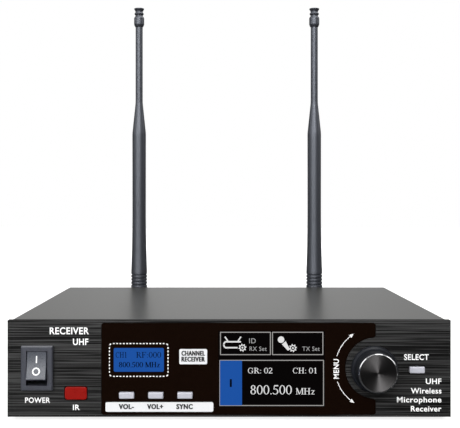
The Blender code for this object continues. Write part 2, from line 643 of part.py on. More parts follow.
# Rear connectors
def xlr_output():
    """Male XLR socket: a shell with a screwed flange, and an insert that holds three pins."""
    flange_end = REAR_OUT + XLR_FLANGE_T
    shell = prism("xlr_socket", [round_rect(XLR, *XLR_FLANGE, 0.002)], REAR_OUT, flange_end, NICKEL)
    cup = axial("xlr_cup", XLR, XLR_START, REAR_OUT + 0.0005, XLR_CUP_R, segments=32)
    tools = [axial("xlr_bore", XLR, XLR_FLOOR, flange_end + PAST, XLR_BORE_R, segments=32)]
    head, thread = XLR_HEAD_R, XLR_SCREW_R
    profile = [(0, 0), (head, 0), (head, -0.0008), (thread, -0.0008), (thread, -0.007), (0, -0.007)]
    for i, place in enumerate(xlr_screw_places(), 1):
        sink = flange_end - XLR_SINK
        tools.append(axial(f"clearance_{i}", place, sink - CLEAR, sink + CLEAR, XLR_HOLE_R, segments=16))
        tools.append(axial(f"sink_{i}", place, sink, sink + CLEAR, XLR_HEAD_R + GAP, segments=16))
        origin = (place[0], flange_end - 0.0002, place[1])
        turned(f"xlr_screw_{i}", profile, origin, "Y", STEEL, segments=16)
    fuse(shell, cup)
    cut(shell, *tools)
    start = XLR_FLOOR + GAP
    end = start + XLR_INSERT_T
    insert = axial("xlr_insert", XLR, start, end, XLR_BORE_R - GAP, colour=BLACK)
    for number, place in enumerate(arc(XLR, XLR_PIN_CIRCLE_R, 90, 330, 2), 1):
        fuse(insert, axial(f"xlr_pin_{number}", place, end - 0.001, XLR_PIN_END, XLR_PIN_R, segments=12))


def jack_output():
    """6.35 mm jack socket with its ring nut."""
    x = JACK[0]
    low = (x - JACK_HALF_W, JACK_START, JACK_BODY_Z[0])
    high = (x + JACK_HALF_W, REAR_IN - GAP, JACK_BODY_Z[1])
    body = block("jack_socket", low, high, BLACK)
    fuse(body, axial("jack_bush", JACK, REAR_IN - 0.001, JACK_END, THREAD_R))
    cut(body, axial("jack_bore", JACK, JACK_BORE_END, JACK_END + CLEAR, JACK_BORE_R))
    end = REAR_OUT + JACK_NUT_T
    nut = axial("jack_nut", JACK, REAR_OUT, end, JACK_NUT_R, colour=NICKEL, segments=6)
    cut(nut, axial("jack_nut_bore", JACK, REAR_OUT - PAST, end + PAST, THREAD_R + GAP))


def dc_inlet():
    """Power inlet for a barrel plug: a sleeve round a centre pin."""
    x, z = DC
    low, high = (x - DC_R, DC_START, DC_BOTTOM), (x + DC_R, REAR_IN - GAP, z + DC_R)
    body = block("dc_inlet", low, high, BLACK)
    fuse(body, axial("dc_sleeve", DC, REAR_IN - 0.001, DC_END, DC_R))
    cut(body, axial("dc_bore", DC, DC_BORE_END, DC_END + CLEAR, DC_BORE_R, segments=20))
    fuse(body, axial("dc_pin", DC, DC_BORE_END - 0.0005, DC_PIN_END, DC_PIN_R, segments=10))


# Aerials
def aerial_socket(side, x):
    """A bulkhead bayonet socket, with two lugs on its barrel, and its nut inside the case."""
    bore_r, contact_r, floor, contact_end = 0.00415, 0.0023, 0.1643, 0.1695
    thread_r, thread_end, tail_r, tail_end, pin_r = 0.0046, 0.1490, 0.0032, 0.1455, 0.0008
    profile = [
        (0, contact_end),
        (contact_r, contact_end),
        (contact_r, floor),
        (bore_r, floor),
        (bore_r, BARREL_END),
        (BNC_R, BARREL_END),
        (BNC_R, FLANGE_END),
        (0.0060, FLANGE_END),
        (0.0060, REAR_OUT),
        (thread_r, REAR_OUT),
        (thread_r, thread_end),
        (tail_r, thread_end),
        (tail_r, tail_end),
        (pin_r, tail_end),
        (pin_r, SOCKET_PIN_END),
        (0, SOCKET_PIN_END),
    ]
    place = (x, AERIAL_Z)
    socket = turned(f"aerial_socket_{side}", profile, (x, 0, AERIAL_Z), "Y", NICKEL)
    flange = axial(f"socket_flange_{side}", place, REAR_OUT, FLANGE_END, SOCKET_HEX_R, segments=6)
    lugs = crosswise(f"socket_lugs_{side}", (x, LUG_Y, AERIAL_Z), LUG_REACH, LUG_R, segments=12)
    cut(lugs, axial(f"lug_bore_{side}", place, floor, BARREL_END + PAST, (bore_r + BNC_R) / 2))
    fuse(socket, flange, lugs)
    nut = axial(f"socket_nut_{side}", place, *NUT_Y, SOCKET_NUT_R, colour=NICKEL, segments=6)
    cut(nut, axial(f"socket_nut_bore_{side}", place, NUT_Y[0] - PAST, NUT_Y[1] + PAST, thread_r + GAP))


def bayonet_ring(side, x):
    """The quarter-turn ring: two entry slots lead to a groove that holds the socket's lugs."""
    chamfer = 0.0005
    profile = [
        (LIP_R, RING_END),
        (RING_R - chamfer, RING_END),
        (RING_R, RING_END - chamfer),
        (RING_R, RING_START + chamfer),
        (RING_R - chamfer, RING_START),
        (RING_BORE_R, RING_START),
        (RING_BORE_R, GROOVE_Y[0]),
        (GROOVE_R, GROOVE_Y[0]),
        (GROOVE_R, GROOVE_Y[1]),
        (RING_BORE_R, GROOVE_Y[1]),
        (RING_BORE_R, LIP_Y),
        (LIP_R, LIP_Y),
    ]
    ring = turned(f"bayonet_ring_{side}", profile, (x, 0, AERIAL_Z), "Y", NICKEL, segments=32, ring=True)
    slot_w, start, end = 2 * (LUG_R + GAP), RING_START - PAST, GROOVE_Y[0] + 0.0006
    cut(ring, through(f"bayonet_slots_{side}", (x, AERIAL_Z), slot_w, 2 * GROOVE_R, start, end))


def aerial_knuckle(side, x):
    """The plug that turns in the socket, with a pair of ears for the aerial's fold pin."""
    z, floor = AERIAL_Z, KNUCKLE_FLOOR
    shoulder, rim, neck_end, plug_start, plug_end, bore_end = 0.1762, 0.1768, 0.1740, 0.1726, 0.1652, 0.1720
    collar_r = BNC_R - 0.0001
    profile = [
        (0, floor + 0.0004),
        (BODY_R, floor + 0.0004),
        (BODY_R, rim),
        (BODY_R - 0.0006, shoulder),
        (NECK_R, shoulder),
        (NECK_R, neck_end),
        (collar_r, neck_end),
        (collar_r, plug_start),
        (PLUG_R, plug_start),
        (PLUG_R, plug_end),
        (PLUG_BORE_R, plug_end),
        (PLUG_BORE_R, bore_end),
        (0, bore_end),
    ]
    knuckle = turned(f"aerial_knuckle_{side}", profile, (x, 0, z), "Y", BLACK)
    root = floor - 0.0008 - PIVOT_Y
    outline = [(root, EAR_R), (root, -EAR_R), *arc((0, 0), EAR_R, -90, 90, 12)]
    ears = prism(f"knuckle_ears_{side}", [outline], -EAR_X, EAR_X, None, "X", (x, PIVOT_Y, z))
    low, high = (x - TONGUE_GAP_X, floor, z - CLEAR), (x + TONGUE_GAP_X, PIVOT_Y + CLEAR, z + CLEAR)
    slot = block(f"knuckle_slot_{side}", low, high)
    hole = crosswise(f"knuckle_hole_{side}", (x, PIVOT_Y, z), CLEAR, PIN_R + GAP, segments=16)
    fuse(knuckle, ears)
    cut(knuckle, slot, hole)


def fold_pin(side, x):
    """The riveted pin through the ears and the rod's tongue."""
    face, end, chamfer = EAR_X + GAP, EAR_X + GAP + PIN_HEAD_T, 0.0004
    half = [(0, end), (PIN_HEAD_R * 0.7, end), (PIN_HEAD_R, end - chamfer), (PIN_HEAD_R, face), (PIN_R, face)]
    profile = half + [(r, -along) for r, along in reversed(half)]
    turned(f"fold_pin_{side}", profile, (x, PIVOT_Y, AERIAL_Z), "X", NICKEL, segments=16)


def aerial_whip(side, x):
    """The rod: a tongue in the knuckle, a ribbed foot, a tapered body and a thin upper stem."""
    radii = [(WHIP_R - 0.0005, FOOT_Z), (WHIP_R, FOOT_Z + 0.0008), (WHIP_R, 0.0491)]
    for z in GROOVES:
        radii += [(GROOVE_DEPTH_R, z - 0.0003), (GROOVE_DEPTH_R, z + 0.0003), (RIB_R, z + 0.0009)]
        radii += [(RIB_R, z + 0.0013)]
    radii += [(0.00525, 0.0600), (0.00485, 0.0760), (0.00462, 0.0950), (0.00455, 0.1190), (0.00458, 0.1519)]
    radii += [(0.00412, 0.1570), (0.00300, 0.1655), (0.00248, 0.1721)]
    radii += [(STEM_TOP_R, 0.1760), (STEM_TOP_R, CAP_Z)]
    profile = [(0, FOOT_Z), *radii, (0, CAP_Z)]
    profile = [(r, height - AERIAL_Z) for r, height in reversed(profile)]
    pivot = (x, PIVOT_Y, AERIAL_Z)
    whip = turned(f"aerial_whip_{side}", profile, pivot, "Z", RUBBER, segments=20)
    disc = crosswise(f"whip_disc_{side}", pivot, TONGUE_X, 0.0048)
    half_y = 0.0036
    low = (x - TONGUE_X, PIVOT_Y - half_y, AERIAL_Z)
    high = (x + TONGUE_X, PIVOT_Y + half_y, FOOT_Z + 0.002)
    neck = block(f"whip_neck_{side}", low, high)
    fuse(whip, disc, neck)
    cut(whip, crosswise(f"whip_hole_{side}", pivot, CLEAR, PIN_R + GAP, segments=16))


def aerial_tip(side, x):
    """The moulded end cap: a barrel, a ring and a flared top."""
    start = CAP_Z + GAP
    profile = [
        (0, AERIAL_TOP),
        (0.00352, AERIAL_TOP),
        (0.00352, 0.2358),
        (0.00250, 0.2342),
        (0.00250, 0.2337),
        (0.00342, 0.2331),
        (0.00342, 0.2323),
        (0.00242, 0.2315),
        (0.00242, 0.2308),
        (0.00345, 0.2296),
        (0.00345, 0.2249),
        (0.00242, start),
        (0, start),
    ]
    profile = [(r, height - AERIAL_Z) for r, height in profile]
    turned(f"aerial_tip_{side}", profile, (x, PIVOT_Y, AERIAL_Z), "Z", RUBBER, segments=20)


def main():
    front_panel()
    fascia_lens()
    top_cover()
    chassis()
    feet()
    cover_screws()
    switch_housing()
    power_rocker()
    ir_window()
    ir_emitter()
    display("channel_display", CHANNEL, CHANNEL_GLASS, CHANNEL_MODULE, CHANNEL_DEPTH)
    display("main_display", MAIN, MAIN_GLASS, MAIN_MODULE, MAIN_DEPTH)
    for name, place in BUTTONS.items():
        button(name, place)
        tactile_switch(name, place)
    knob()
    encoder()
    boards()
    ribbon_cable()
    internal_leads()
    xlr_output()
    jack_output()
    dc_inlet()
    for side, x in SIDES:
        aerial_socket(side, x)
        bayonet_ring(side, x)
        aerial_knuckle(side, x)
        fold_pin(side, x)
        aerial_whip(side, x)
        aerial_tip(side, x)


main()
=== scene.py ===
"""The looks of the wireless microphone receiver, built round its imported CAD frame.

Metres, +Z up, the control panel facing -Y. Every place comes from the frame's boxes. The flat
artwork is drawn in (x, z), seen from the front, and laid on the surface that carries it.
"""

import math

import bmesh
import bpy
from mathutils import Matrix, Vector


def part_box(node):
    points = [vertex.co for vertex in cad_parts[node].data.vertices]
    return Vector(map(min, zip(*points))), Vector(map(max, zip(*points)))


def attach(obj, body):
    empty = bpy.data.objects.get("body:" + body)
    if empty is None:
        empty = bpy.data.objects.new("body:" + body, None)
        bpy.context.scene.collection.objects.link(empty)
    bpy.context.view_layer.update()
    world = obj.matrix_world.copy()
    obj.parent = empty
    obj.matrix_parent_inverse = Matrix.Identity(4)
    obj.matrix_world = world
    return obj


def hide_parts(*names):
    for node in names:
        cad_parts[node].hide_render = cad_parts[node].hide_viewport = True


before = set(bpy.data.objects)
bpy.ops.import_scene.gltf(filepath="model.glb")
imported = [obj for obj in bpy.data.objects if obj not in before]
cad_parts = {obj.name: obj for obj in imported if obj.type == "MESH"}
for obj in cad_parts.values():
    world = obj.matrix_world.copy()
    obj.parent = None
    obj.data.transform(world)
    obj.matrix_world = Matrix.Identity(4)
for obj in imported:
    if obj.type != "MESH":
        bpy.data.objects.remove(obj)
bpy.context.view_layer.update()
SIDES = ("left", "right")
INK = 0.00003  # how far printing stands off its surface
PAST = 0.002  # how far a cutter runs past the face it cuts
PRINT_WEIGHT = 0.020  # how far the white words' strokes are thickened
BOLD = 0.00010  # the step between the prints of a bold word
WELD = 0.000004  # points nearer than this become one
SOFT_LIGHT = 0.12  # the backdrop's strength as a diffuse light
CLEAR = 0.0003  # the air between neighbouring pieces
CORNER_STEPS = 6  # straight pieces in a rounded corner
SHEET = 0.001  # the thickness of the case's steel


def middle(node):
    low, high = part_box(node)
    return (low + high) / 2


PANEL_LOW, PANEL_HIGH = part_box("front_panel")
FACE = PANEL_LOW.y
LENS_LOW, LENS_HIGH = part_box("fascia_lens")
KNOB_AT = middle("knob")
SWITCH_AT = middle("switch_housing")
IR_AT = middle("ir_window")
BEHIND_PANEL = PANEL_HIGH.y + CLEAR
SCREEN_Y = LENS_LOW.y + 0.00005  # the screens' faces, just behind the fascia's
REAR_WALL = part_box("chassis")[1].y
BODY_END = REAR_WALL - 0.0013  # where a socket's body ends inside the rear wall
BUSH_START = REAR_WALL - 0.0020  # where its bush starts, inside the body


# Materials
def set_inputs(node, values):
    """Sets sockets by their names, in which an underscore stands for a space."""
    for socket, value in values.items():
        node.inputs[socket.replace("_", " ")].default_value = value


def add_node(tree, kind, **values):
    made = tree.nodes.new(kind)
    set_inputs(made, values)
    return made


def principled(name):
    """A new material, its node tree and its shader."""
    made = bpy.data.materials.new(name)
    made.use_nodes = True
    return made, made.node_tree, made.node_tree.nodes["Principled BSDF"]


def noise(tree, stretch, detail=3.0):
    """Fractal noise in the piece's own space. Stretch is its frequency along X, Y and Z."""
    place = add_node(tree, "ShaderNodeTexCoord")
    mapping = add_node(tree, "ShaderNodeMapping", Scale=stretch)
    texture = add_node(tree, "ShaderNodeTexNoise", Scale=1.0, Detail=detail, Roughness=0.5)
    tree.links.new(place.outputs["Object"], mapping.inputs["Vector"])
    tree.links.new(mapping.outputs["Vector"], texture.inputs["Vector"])
    return texture.outputs["Fac"]


def ramp(tree, value, stops):
    """A colour ramp over a value, from (position, colour) stops."""
    made = tree.nodes.new("ShaderNodeValToRGB")
    while len(made.color_ramp.elements) < len(stops):
        made.color_ramp.elements.new(1.0)
    for element, (position, colour) in zip(made.color_ramp.elements, stops):
        element.position = position
        element.color = (*colour, 1.0)
    tree.links.new(value, made.inputs["Fac"])
    return made.outputs["Color"]


def remap(tree, value, low, high, start=0.3, end=0.7):
    """Stretches a value's range from start to end over low to high."""
    made = add_node(tree, "ShaderNodeMapRange", From_Min=start, From_Max=end, To_Min=low, To_Max=high)
    tree.links.new(value, made.inputs["Value"])
    return made.outputs["Result"]


def bump(tree, shader, height, distance, strength=1.0):
    made = add_node(tree, "ShaderNodeBump", Distance=distance, Strength=strength)
    tree.links.new(height, made.inputs["Height"])
    tree.links.new(made.outputs["Normal"], shader.inputs["Normal"])


def surface(name, colour, roughness, grain, spread=0.12, wear=0.06, relief=0.0, **sockets):
    """A Principled material whose colour, roughness and relief follow one fine noise."""
    made, tree, shader = principled(name)
    fine = noise(tree, grain if isinstance(grain, tuple) else (grain,) * 3)
    dark, light = ([c * (1 + sign * spread) for c in colour] for sign in (-1, 1))
    tree.links.new(ramp(tree, fine, [(0.3, dark), (0.7, light)]), shader.inputs["Base Color"])
    tree.links.new(remap(tree, fine, roughness - wear, roughness + wear), shader.inputs["Roughness"])
    if relief:
        bump(tree, shader, fine, relief)
    set_inputs(shader, sockets)
    return made


def glowing(name, colour, strength=0.9, roughness=0.25):
    """A lit display colour, with only a little of the room's light added to it."""
    return surface(
        name, [c * 0.12 for c in colour], roughness, 900, 0.04, 0.02,
        Emission_Color=(*colour, 1.0), Emission_Strength=strength, Specular_IOR_Level=0.05,
    )


def brushed_panel():
    """Black anodised aluminium with long horizontal brush lines, coarse ones over fine ones."""
    made, tree, shader = principled("brushed_black_anodised")
    coarse = noise(tree, (14, 14, 3300), 1.0)
    fine = noise(tree, (30, 30, 1700), 1.0)
    both = add_node(tree, "ShaderNodeMix", Factor=0.40)
    tree.links.new(coarse, both.inputs["A"])
    tree.links.new(fine, both.inputs["B"])
    lines = both.outputs["Result"]
    stops = [(0.43, (0.0005,) * 3), (0.47, (0.005,) * 3), (0.50, (0.022,) * 3), (0.56, (0.057,) * 3)]
    tree.links.new(ramp(tree, lines, stops), shader.inputs["Base Color"])
    tree.links.new(remap(tree, lines, 0.50, 0.40), shader.inputs["Roughness"])
    shader.inputs["Metallic"].default_value = 0.75
    bump(tree, shader, lines, 0.00002, 0.5)
    return made


def spun_face():
    """Dark turned aluminium: fine circular grooves round the knob's axis."""
    made, tree, shader = principled("spun_dark_aluminium")
    place = add_node(tree, "ShaderNodeTexCoord")
    rings = add_node(tree, "ShaderNodeTexWave", Scale=1300, Distortion=0.6, Detail_Scale=300)
    rings.wave_type = "RINGS"
    rings.rings_direction = "Y"
    tree.links.new(place.outputs["Object"], rings.inputs["Vector"])
    colours = ramp(tree, rings.outputs["Fac"], [(0.0, (0.075, 0.073, 0.074)), (1.0, (0.115, 0.110, 0.111))])
    tree.links.new(colours, shader.inputs["Base Color"])
    tangent = add_node(tree, "ShaderNodeTangent")
    tangent.direction_type = "RADIAL"
    tangent.axis = "Y"
    tree.links.new(tangent.outputs["Tangent"], shader.inputs["Tangent"])
    set_inputs(shader, {"Metallic": 1.0, "Roughness": 0.32, "Anisotropic": 0.9, "Anisotropic Rotation": 0.25})
    return made


BRUSHED = brushed_panel()
SPUN = spun_face()
# The panel's edges and bevels, matte and near black: partly the edge's own unbrushed anodising, partly
# painted shade, darker than the face so that they read as a thin shaded line.
SHADED_EDGE = surface("anodised_edge_painted_shade", (0.006, 0.006, 0.006), 0.60, 1500, 0.15, 0.05, Specular_IOR_Level=0.08)
PAINT = surface(
    "satin_black_paint", (0.020, 0.020, 0.017), 0.33, 2600, 0.10, 0.03, 0.000012, Specular_IOR_Level=0.29
)
ACRYLIC = surface("black_acrylic", (0.0050, 0.0022, 0.0012), 0.10, 300, 0.05, 0.02, Specular_IOR_Level=0.05)
SWITCH = surface(
    "black_nylon", (0.043, 0.046, 0.059), 0.32, 2200, 0.10, 0.05, 0.000010, Specular_IOR_Level=0.65
)
ROCKER = surface("rocker_nylon", (0.055, 0.060, 0.075), 0.30, 2200, 0.10, 0.05, 0.000010)
PLASTIC = surface("black_plastic", (0.018, 0.019, 0.021), 0.35, 1800, 0.12, 0.05, 0.000010)
KNOB_SKIN = surface("knob_plastic", (0.009, 0.010, 0.013), 0.38, 1500, 0.12, 0.04, Specular_IOR_Level=0.14)
KEYS = surface("key_plastic", (0.43, 0.435, 0.485), 0.32, 900, 0.04, 0.04)
FILTER = surface("infrared_filter", (0.225, 0.0042, 0.0020), 0.30, 500, 0.06, 0.03, Specular_IOR_Level=0.15)
WHITE_INK = surface("white_ink", (0.86, 0.86, 0.86), 0.5, 1500, 0.03, 0.05)
BLACK_INK = surface("black_ink", (0.010, 0.010, 0.012), 0.5, 1500, 0.10, 0.05)
LABEL = surface("white_label", (0.68, 0.685, 0.70), 0.45, 1500, 0.02, 0.05)
BLUE_LCD = glowing("blue_backlight", (0.0110, 0.0780, 0.3400))
LCD_TEXT = glowing("blue_lcd_text", (0.0015, 0.0030, 0.0080))
TFT_BLACK = glowing("display_black", (0.0030, 0.0022, 0.0022), 0.6, 0.12)
TFT_WHITE = glowing("display_white", (0.72, 0.72, 0.72))
TFT_DIM = glowing("display_dim_text", (0.36, 0.36, 0.36))
TFT_GREY = glowing("display_lines", (0.33, 0.32, 0.31))
RUBBER = surface(
    "aerial_rubber", (0.013, 0.014, 0.018), 0.46, 2400, 0.10, 0.05, 0.000008,
    Specular_IOR_Level=1.0, Specular_Tint=(0.84, 0.89, 1.0, 1.0),
)
FOOT = surface("foot_rubber", (0.012, 0.012, 0.012), 0.75, 1800, 0.15, 0.08, 0.00002)
ZINC = surface("zinc_plate", (0.62, 0.61, 0.58), 0.28, 1400, 0.06, 0.06, 0.000004, Metallic=1.0)
NICKEL = surface("nickel_plate", (0.66, 0.64, 0.60), 0.16, 1200, 0.04, 0.05, Metallic=1.0)
BRIGHT = surface("diamond_cut_edge", (0.50, 0.50, 0.51), 0.15, 1200, 0.02, 0.04, Metallic=1.0)
SOLDER_MASK = surface("solder_mask", (0.008, 0.085, 0.030), 0.30, 420, 0.20, 0.08)
CHIP = surface("chip_epoxy", (0.015, 0.015, 0.016), 0.55, 2500, 0.15, 0.05)
JACKET = surface("cable_jacket", (0.28, 0.28, 0.29), 0.45, 1200, 0.08, 0.05)
RED_JACKET = surface("red_jacket", (0.45, 0.02, 0.015), 0.40, 1200, 0.08, 0.05)
RESIN = surface("lamp_resin", (0.10, 0.07, 0.16), 0.12, 600, 0.08, 0.03)


# Shapes
def link(name, mesh, material=None, location=(0, 0, 0)):
    obj = bpy.data.objects.new(name, mesh)
    obj.location = location
    bpy.context.scene.collection.objects.link(obj)
    if material:
        mesh.materials.clear()
        mesh.materials.append(material)
    return obj


def mesh_of(name, bm):
    mesh = bpy.data.meshes.new(name)
    bm.to_mesh(mesh)
    bm.free()
    return mesh


def from_bmesh(name, bm, material=None, location=(0, 0, 0)):
    return link(name, mesh_of(name, bm), material, location)


def settle(obj, smooth_below=35):
    """Replaces the modifiers by their result, shaded smooth up to an angle."""
    graph = bpy.context.evaluated_depsgraph_get()
    mesh = bpy.data.meshes.new_from_object(obj.evaluated_get(graph))
    obj.modifiers.clear()
    obj.data = mesh
    mesh.shade_smooth()
    mesh.set_sharp_from_angle(angle=math.radians(smooth_below))
    return obj


def box(name, low, high, material=None, radius=0.0):
    low, high = Vector(low), Vector(high)
    bm = bmesh.new()
    bmesh.ops.create_cube(bm, size=1.0)
    bmesh.ops.scale(bm, vec=high - low, verts=bm.verts)
    bmesh.ops.translate(bm, vec=(low + high) / 2, verts=bm.verts)
    obj = from_bmesh(name, bm, material)
    return soften(obj, radius, 3, 30) if radius else obj


def block(name, x, z, half_w, half_h, start, end):
    """A box centred on x and z, from y = start to y = end."""
    return box(name, (x - half_w, start, z - half_h), (x + half_w, end, z + half_h))


def soften(obj, radius, segments=2, angle=40):
    """Rounds the edges that are sharper than an angle, once points that coincide are one."""
    weld(obj)
    modifier = obj.modifiers.new("edges", "BEVEL")
    modifier.width = radius
    modifier.segments = segments
    modifier.limit_method = "ANGLE"
    modifier.angle_limit = math.radians(angle)
    modifier.use_clamp_overlap = True
    return settle(obj)


def weld(obj):
    """Makes points that coincide one, when the piece is next settled."""
    obj.modifiers.new("weld", "WELD").merge_threshold = WELD
    return obj


def merge_flat(obj):
    """Joins the faces that lie in one plane, and drops the points left along straight edges."""
    modifier = obj.modifiers.new("flat", "DECIMATE")
    modifier.decimate_type = "DISSOLVE"
    modifier.angle_limit = math.radians(1)
    return settle(obj)


def rod(name, start, end, radius, material=None, segments=48):
    start, end = Vector(start), Vector(end)
    turn = (end - start).to_track_quat("Z", "Y").to_matrix().to_4x4()
    bm = bmesh.new()
    bmesh.ops.create_cone(
        bm,
        cap_ends=True,
        segments=segments,
        radius1=radius,
        radius2=radius,
        depth=(end - start).length,
        matrix=Matrix.Translation((start + end) / 2) @ turn,
    )
    return from_bmesh(name, bm, material)


def y_rod(name, x, z, start, end, radius, material=None, segments=48):
    """A rod along Y at x and z."""
    return rod(name, (x, start, z), (x, end, z), radius, material, segments)


def turned(name, profile, centre, axis="Y", material=None, segments=64, ring=False, smooth_below=35):
    """A turned piece from (radius, distance along the axis) points, far end first, down the
    outer side, and for a ring up the bore again."""
    bm = bmesh.new()
    points = [bm.verts.new((r, 0, along)) for r, along in profile]
    for first, second in zip(points, points[1:]):
        bm.edges.new((first, second))
    if ring:
        bm.edges.new((points[-1], points[0]))
    obj = from_bmesh(name, bm, material, centre)
    obj.rotation_euler = {"Y": (-math.pi / 2, 0, 0), "X": (0, math.pi / 2, 0), "Z": (0, 0, 0)}[axis]
    screw = obj.modifiers.new("turning", "SCREW")
    screw.steps = screw.render_steps = segments
    screw.use_merge_vertices = True
    screw.merge_threshold = 1e-7
    settle(obj, smooth_below)
    turn = obj.rotation_euler.to_matrix().to_4x4()
    obj.data.transform(turn)
    obj.rotation_euler = (0, 0, 0)
    return obj


def rounded(profile, radius, steps=3):
    """The profile with each inner corner replaced by a small arc, for soft turned edges."""
    made = [profile[0]]
    for before, corner, after in zip(profile, profile[1:], profile[2:]):
        a, b, c = Vector(before), Vector(corner), Vector(after)
        reach = min(radius, (a - b).length * 0.45, (c - b).length * 0.45)
        start, end = b + (a - b).normalized() * reach, b + (c - b).normalized() * reach
        for i in range(steps + 1):
            t = i / steps
            point = start * (1 - t) ** 2 + b * 2 * t * (1 - t) + end * t**2
            made.append((max(point.x, 0.0), point.y))
    return [*made, profile[-1]]


def flat_mesh(outlines, start, end):
    """A slab in the (x, z) plane from outlines with any holes, from y = start to y = end."""
    curve = bpy.data.curves.new("outline", "CURVE")
    curve.dimensions = "2D"
    curve.fill_mode = "BOTH"
    curve.extrude = (end - start) / 2
    for outline in outlines:
        spline = curve.splines.new("POLY")
        spline.points.add(len(outline) - 1)
        spline.use_cyclic_u = True
        for point, (x, z) in zip(spline.points, outline):
            point.co = (x, z, 0, 1)
    return upright(curve, (start + end) / 2)


def upright(curve, y):
    """Makes a flat curve's mesh, welds its caps, and stands it up facing -Y."""
    drawn = link("drawn", curve)
    graph = bpy.context.evaluated_depsgraph_get()
    mesh = bpy.data.meshes.new_from_object(drawn.evaluated_get(graph))
    bpy.data.objects.remove(drawn)
    mesh.materials.clear()
    bm = bmesh.new()
    bm.from_mesh(mesh)
    bmesh.ops.remove_doubles(bm, verts=bm.verts, dist=1e-7)
    stand = Matrix(((1, 0, 0, 0), (0, 0, -1, y), (0, 1, 0, 0), (0, 0, 0, 1)))
    bmesh.ops.transform(bm, matrix=stand, verts=bm.verts)
    bmesh.ops.recalc_face_normals(bm, faces=bm.faces)
    bm.to_mesh(mesh)
    bm.free()
    return mesh


def plate(name, outlines, start, end, material=None):
    return link(name, flat_mesh(outlines, start, end), material)


def cushion(name, centre, size, corner, front, back, edge, steps=3, material=None):
    """A rounded block whose front edge is eased over by an arc, or by a chamfer if steps is 1."""
    layers = [(0.0, back)]
    for i in range(steps + 1):
        angle = math.pi / 2 * (1 - i / steps)
        layers.append((edge * (1 - math.sin(angle)), front + edge * (1 - math.cos(angle))))
    bm = bmesh.new()
    rings = []
    for inset, y in layers:
        outline = round_rect(centre, size[0] - 2 * inset, size[1] - 2 * inset, corner)
        rings.append([bm.verts.new((x, y, z)) for x, z in outline])
    for ring, following in zip(rings, rings[1:]):
        for i in range(len(ring)):
            bm.faces.new((ring[i - 1], ring[i], following[i], following[i - 1]))
    bm.faces.new(rings[0])
    bm.faces.new(rings[-1])
    bmesh.ops.recalc_face_normals(bm, faces=bm.faces)
    return settle(from_bmesh(name, bm, material))


def apply_boolean(obj, operation, others):
    for other in others:
        modifier = obj.modifiers.new(operation, "BOOLEAN")
        modifier.operation = operation
        modifier.object = other
    settle(obj)
    for other in others:
        bpy.data.objects.remove(other)
    return obj


def cut(obj, *tools):
    return apply_boolean(obj, "DIFFERENCE", tools)


def fuse(obj, *others):
    return apply_boolean(obj, "UNION", others)


def arc(centre, radius, start, end, steps=8):
    """Points on an arc from one angle to another, in degrees."""
    angles = [math.radians(start + (end - start) * i / steps) for i in range(steps + 1)]
    return [(centre[0] + radius * math.cos(a), centre[1] + radius * math.sin(a)) for a in angles]


def circle(centre, radius, steps=32):
    return arc(centre, radius, 0, 360 * (steps - 1) / steps, steps - 1)


def round_rect(centre, width, height, radius):
    x, z = width / 2 - radius, height / 2 - radius
    corners = ((x, z, 0), (-x, z, 90), (-x, -z, 180), (x, -z, 270))
    return [
        point
        for dx, dz, start in corners
        for point in arc((centre[0] + dx, centre[1] + dz), radius, start, start + 90, CORNER_STEPS)
    ]


def bar(start, end, width):
    """The outline of a straight stroke."""
    start, end = Vector(start), Vector(end)
    across = (end - start).normalized().orthogonal() * (width / 2)
    return [tuple(start + across), tuple(start - across), tuple(end - across), tuple(end + across)]


def ring_band(centre, radius, width, start, end, steps=16):
    """The outline of a stroke along an arc."""
    outer = arc(centre, radius + width / 2, start, end, steps)
    return outer + arc(centre, radius - width / 2, end, start, steps)


def outlined(centre, width, height, radius, stroke):
    """A rounded frame of one stroke's width."""
    inner = max(radius - stroke, 0.0001)
    return [
        round_rect(centre, width, height, radius),
        round_rect(centre, width - 2 * stroke, height - 2 * stroke, inner),
    ]


def show(obj, slot, *replaced, body="receiver"):
    """Hangs a finished piece on its body and hides what it stands for. Its slot argument is not used."""
    obj.modifiers.new("even_shading", "WEIGHTED_NORMAL").keep_sharp = True
    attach(obj, body)
    if replaced:
        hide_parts(*replaced)
    return obj


# Lettering and other flat artwork
def lettering(words, left, right, baseline, height, weight=0.0, spacing=1.08):
    """Words as a slab between two x positions, capitals of a height on a baseline."""
    curve = bpy.data.curves.new("words", "FONT")
    curve.body = words
    curve.offset = weight
    curve.space_character = spacing
    curve.resolution_u = 4
    curve.extrude = 0.5
    mesh = upright(curve, 0)
    across = [v.co.x for v in mesh.vertices]
    stretch = (right - left) / (max(across) - min(across))
    squeeze = Matrix.Diagonal((stretch, INK, height / CAPITAL, 1))
    mesh.transform(squeeze @ Matrix.Translation((-min(across), 0, 0)))
    mesh.transform(Matrix.Translation((left, 0, baseline)))
    return mesh


def capital_height():
    curve = bpy.data.curves.new("words", "FONT")
    curve.body = "H"
    mesh = upright(curve, 0)
    return max(v.co.z for v in mesh.vertices)


CAPITAL = capital_height()


# Serif letters for the displays, in units of the capitals' height
STEM, HAIR, SERIF = 0.125, 0.060, 0.085
OVAL_STEPS = 23


def oval(x, z, half_w, half_h, start=0, end=345):
    return [(x + half_w * a, z + half_h * b) for a, b in arc((0, 0), 1, start, end, OVAL_STEPS)]


def loop(x, z, half_w, half_h):
    """A closed oval stroke, thick at its sides and thin at its crown."""
    return [oval(x, z, half_w, half_h), oval(x, z, half_w - STEM * 0.85, half_h - HAIR)]


def bowl(x, z, half_w, half_h, start, end):
    """An open oval stroke from one angle to another."""
    inner = oval(x, z, half_w - STEM * 0.85, half_h - HAIR, end, start)
    return [oval(x, z, half_w, half_h, start, end) + inner]


def stroke(x1, z1, x2, z2, width):
    return [bar((x1, z1), (x2, z2), width)]


def stem(x, width=STEM, ends=(0, 1)):
    """An upright stroke with hairline serifs at its foot, its top or both."""
    reach = width / 2 + SERIF
    heights = [abs(z - HAIR / 2) for z in ends]
    return [stroke(x, 0, x, 1, width), *[stroke(x - reach, z, x + reach, z, HAIR) for z in heights]]


